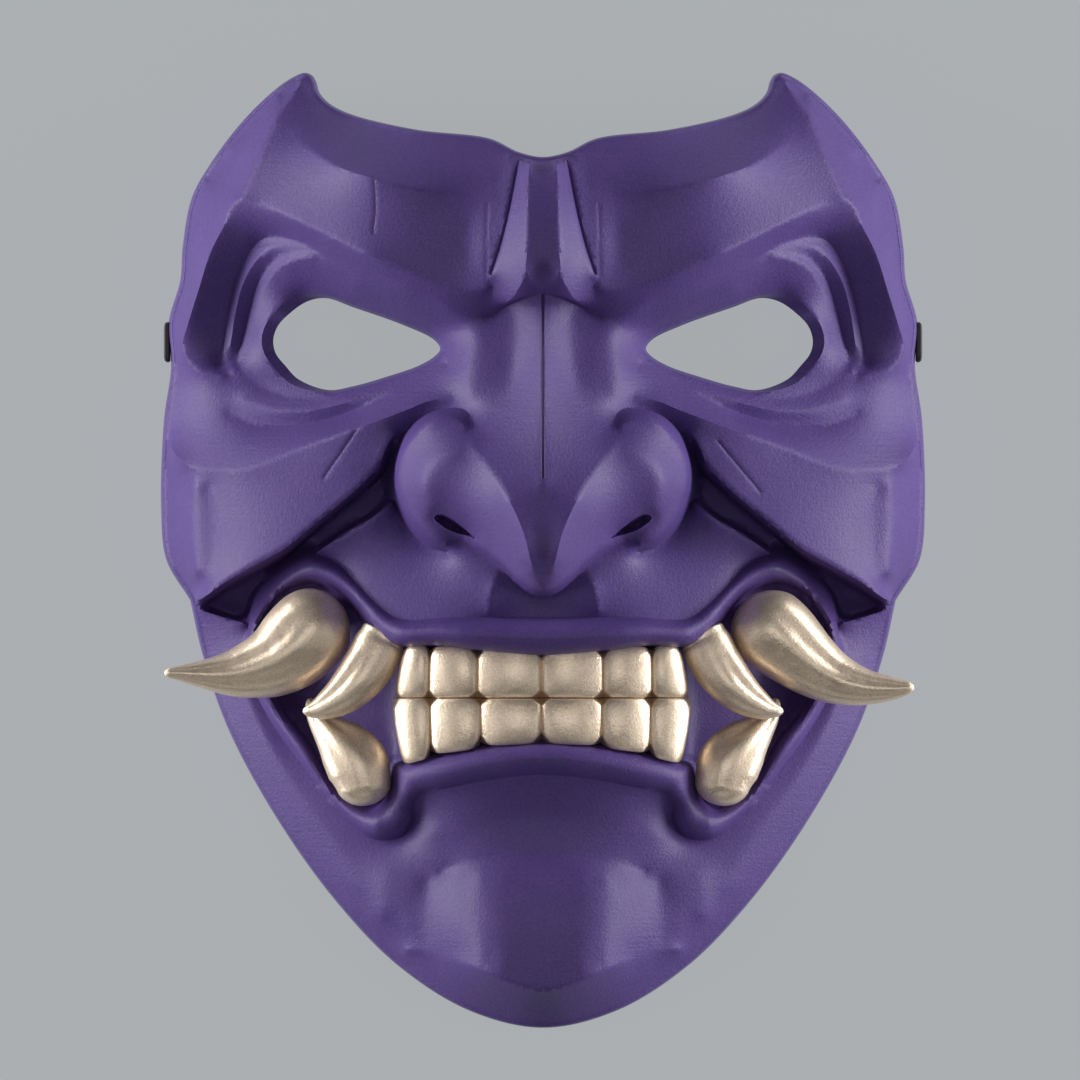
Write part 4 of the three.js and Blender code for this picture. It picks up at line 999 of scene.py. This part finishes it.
def satin_violet_resin():
    """Moulded resin with a satin finish: even violet, fine grain, faint lines from its printed master."""
    material, tree = new_material("satin_violet_resin")
    place = add_node(tree, "ShaderNodeTexCoord").outputs["Object"]
    # The real grain and print lines are finer than 0.1 mm, and are drawn coarser so that they show.
    cloud = add_node(tree, "ShaderNodeTexNoise", Vector=place, Scale=per_mm(14), Detail=4.0, Roughness=0.6)
    grain = add_node(tree, "ShaderNodeTexNoise", Vector=place, Scale=per_mm(0.65), Detail=2.0, Roughness=0.6)
    squash = add_node(tree, "ShaderNodeMapping", Vector=place, Scale=(0.06, 1.0, 0.06))
    layers = add_node(tree, "ShaderNodeTexNoise", Vector=squash.outputs[0], Scale=per_mm(0.7), Detail=1.0)
    tone = add_node(tree, "ShaderNodeMix", {"data_type": "RGBA"}, Factor=cloud.outputs["Fac"],
                    _6=linear("4B3A75"), _7=linear("5B4785"))
    speck = add_node(tree, "ShaderNodeMapRange", Value=grain.outputs["Fac"], **NOISE_RANGE,
                     To_Min=0.86, To_Max=1.14)
    colour = add_node(tree, "ShaderNodeVectorMath", {"operation": "SCALE"}, Vector=tone.outputs[2],
                      Scale=speck.outputs[0])
    rough = add_node(tree, "ShaderNodeMapRange", Value=cloud.outputs["Fac"], **NOISE_RANGE,
                     To_Min=0.4, To_Max=0.5)
    lift = add_node(tree, "ShaderNodeMath", {"operation": "MULTIPLY_ADD"}, _0=layers.outputs["Fac"], _1=0.35,
                    _2=grain.outputs["Fac"])
    bump = add_node(tree, "ShaderNodeBump", Height=lift.outputs[0], Distance=0.15 * MM, Strength=0.8)
    shader = add_node(tree, "ShaderNodeBsdfPrincipled", Base_Color=colour.outputs[0],
                      Roughness=rough.outputs[0], IOR=1.5, Specular_IOR_Level=0.24, Normal=bump.outputs[0])
    add_node(tree, "ShaderNodeOutputMaterial", Surface=shader.outputs[0])
    return material


def champagne_metal_coat():
    """Vacuum metal coat over cast resin: champagne metal, brushed fine ripples, a soft wide gloss."""
    material, tree = new_material("champagne_metal_coat")
    place = add_node(tree, "ShaderNodeTexCoord").outputs["Object"]
    # The real grain is finer than 0.1 mm, and is drawn coarser so that it shows.
    cloud = add_node(tree, "ShaderNodeTexNoise", Vector=place, Scale=per_mm(5), Detail=4.0, Roughness=0.65)
    grain = add_node(tree, "ShaderNodeTexNoise", Vector=place, Scale=per_mm(0.45), Detail=2.0, Roughness=0.6)
    tone = add_node(tree, "ShaderNodeMix", {"data_type": "RGBA"}, Factor=cloud.outputs["Fac"],
                    _6=linear("EBD5BB"), _7=linear("FFEBD2"))
    speck = add_node(tree, "ShaderNodeMapRange", Value=grain.outputs["Fac"], **NOISE_RANGE,
                     To_Min=0.82, To_Max=1.12)
    colour = add_node(tree, "ShaderNodeVectorMath", {"operation": "SCALE"}, Vector=tone.outputs[2],
                      Scale=speck.outputs[0])
    rough = add_node(tree, "ShaderNodeMapRange", Value=cloud.outputs["Fac"], **NOISE_RANGE,
                     To_Min=0.32, To_Max=0.44)
    lift = add_node(tree, "ShaderNodeMath", {"operation": "MULTIPLY_ADD"}, _0=grain.outputs["Fac"], _1=0.5,
                    _2=cloud.outputs["Fac"])
    bump = add_node(tree, "ShaderNodeBump", Height=lift.outputs[0], Distance=0.2 * MM, Strength=0.8)
    shader = add_node(tree, "ShaderNodeBsdfPrincipled", Base_Color=colour.outputs[0], Metallic=0.7,
                      Specular_IOR_Level=1.0, Roughness=rough.outputs[0], Normal=bump.outputs[0])
    add_node(tree, "ShaderNodeOutputMaterial", Surface=shader.outputs[0])
    return material


def dark_moulded_plastic():
    """Injection-moulded plastic with a dull grain, nearly black brown."""
    material, tree = new_material("dark_moulded_plastic")
    place = add_node(tree, "ShaderNodeTexCoord").outputs["Object"]
    # The real grain is finer than 0.1 mm, and is drawn coarser so that it shows.
    grain = add_node(tree, "ShaderNodeTexNoise", Vector=place, Scale=per_mm(0.4), Detail=2.0, Roughness=0.6)
    tone = add_node(tree, "ShaderNodeMix", {"data_type": "RGBA"}, Factor=grain.outputs["Fac"],
                    _6=linear("241E1B"), _7=linear("332B27"))
    bump = add_node(tree, "ShaderNodeBump", Height=grain.outputs["Fac"], Distance=0.05 * MM, Strength=0.5)
    shader = add_node(tree, "ShaderNodeBsdfPrincipled", Base_Color=tone.outputs[2], Roughness=0.6, IOR=1.5,
                      Normal=bump.outputs[0])
    add_node(tree, "ShaderNodeOutputMaterial", Surface=shader.outputs[0])
    return material


def finish_piece(piece, node, material):
    """Puts a piece in the place of its node, with its finish."""
    piece.data.materials.append(material)
    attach(piece, "root")
    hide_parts(node)


VIOLET = satin_violet_resin()
CHAMPAGNE = champagne_metal_coat()
DARK = dark_moulded_plastic()

finish_piece(build_shell(), "mask_shell", VIOLET)
for row, tooth_row in TEETH.items():
    finish_piece(build_teeth(f"{row}_tooth_row", **tooth_row), f"{row}_teeth", CHAMPAGNE)
for node, stations in (("tusk_left", TUSK_LEFT), ("tusk_right", TUSK_RIGHT),
                       ("upper_fang_left", UPPER_FANG), ("upper_fang_right", UPPER_FANG),
                       ("lower_fang_left", LOWER_FANG), ("lower_fang_right", LOWER_FANG)):
    kind, side = node.rsplit("_", 1)
    horn = build_horn(f"{node}_horn", stations, side == "left", **HORN_KINDS[kind])
    finish_piece(horn, node, CHAMPAGNE)
for node, side in (("strap_lug_left", -1), ("strap_lug_right", 1)):
    finish_piece(build_tab(node, side), node, DARK)

# Floor, light and camera.
BACKDROP = "ADB1B4"
FLOOR_GLOW = 0.9           # the paper's own brightness, as a studio backdrop is lit by itself
FLOOR_REACH = 3            # half the side of the paper
WORLD_STRENGTH = 0.04
SENSOR = 36
VIEW_WIDTH = 0.27          # width of the picture at the level below
VIEW_LEVEL = 0.02          # height above the floor
VIEW_CENTRE = (-0.00075, 0.0025)
CAMERA_HEIGHT = 8.0
CAMERA_REACH = 20
FACE_CENTRE = (0, 0, 0.05)     # where the softboxes point
LIGHT_REACH = 0.9          # their distance from it
# Each softbox: bearing from +X and height above the horizon in degrees, width, height and power.
SOFTBOXES = {
    "upper_right": (28, 7, 0.6, 0.25, 4.3),
    "upper_left": (152, 7, 0.6, 0.25, 4.3),
    "side_right": (0, 4, 0.6, 0.25, 6.6),
    "side_left": (180, 4, 0.6, 0.25, 6.6),
    "lower_right": (350, 45, 0.6, 0.25, 0.55),
    "lower_left": (190, 45, 0.6, 0.25, 0.55),
    "below": (270, 30, 0.6, 0.25, 0.4),
    "front": (90, 88, 0.5, 0.4, 1.1),
}


def lay_floor():
    """A sheet of pale grey paper under the mask."""
    mesh = bpy.data.meshes.new("floor")
    corners = [(x * FLOOR_REACH, y * FLOOR_REACH, 0) for x, y in ((-1, -1), (1, -1), (1, 1), (-1, 1))]
    mesh.from_pydata(corners, [], [(0, 1, 2, 3)])
    floor = add_object("floor", mesh)
    material, tree = new_material("pale_grey_paper")
    shader = add_node(tree, "ShaderNodeBsdfPrincipled", Base_Color=linear("3A3B3C"), Roughness=0.9,
                      Emission_Color=linear(BACKDROP), Emission_Strength=FLOOR_GLOW)
    add_node(tree, "ShaderNodeOutputMaterial", Surface=shader.outputs[0])
    mesh.materials.append(material)


def hang_softbox(name, bearing, height, wide, tall, power):
    """A rectangular light that points at the face and doesn't show in the picture."""
    turn, rise = math.radians(bearing), math.radians(height)
    away = Vector((math.cos(turn) * math.cos(rise), math.sin(turn) * math.cos(rise), math.sin(rise)))
    place = Vector(FACE_CENTRE) + away * LIGHT_REACH
    data = bpy.data.lights.new(name, "AREA")
    data.shape = "RECTANGLE"
    data.size, data.size_y = wide, tall
    data.energy = power
    lamp = add_object(name, data)
    lamp.location = place
    lamp.rotation_mode = "QUATERNION"
    lamp.rotation_quaternion = (Vector(FACE_CENTRE) - place).to_track_quat("-Z", "Y")
    lamp.visible_camera = False


lay_floor()
for name, softbox in SOFTBOXES.items():
    hang_softbox(f"softbox_{name}", *softbox)

world = bpy.data.worlds.new("studio")
world.use_nodes = True
world.node_tree.nodes["Background"].inputs["Color"].default_value = linear("C8CCD2")
world.node_tree.nodes["Background"].inputs["Strength"].default_value = WORLD_STRENGTH
bpy.context.scene.world = world

camera_data = bpy.data.cameras.new("camera")
camera_data.sensor_width = SENSOR
camera_data.lens = SENSOR * (CAMERA_HEIGHT - VIEW_LEVEL) / VIEW_WIDTH
camera_data.clip_end = CAMERA_REACH
camera = add_object("camera", camera_data)
camera.location = (*VIEW_CENTRE, CAMERA_HEIGHT)
bpy.context.scene.camera = camera
bpy.context.scene.view_settings.view_transform = "Standard"
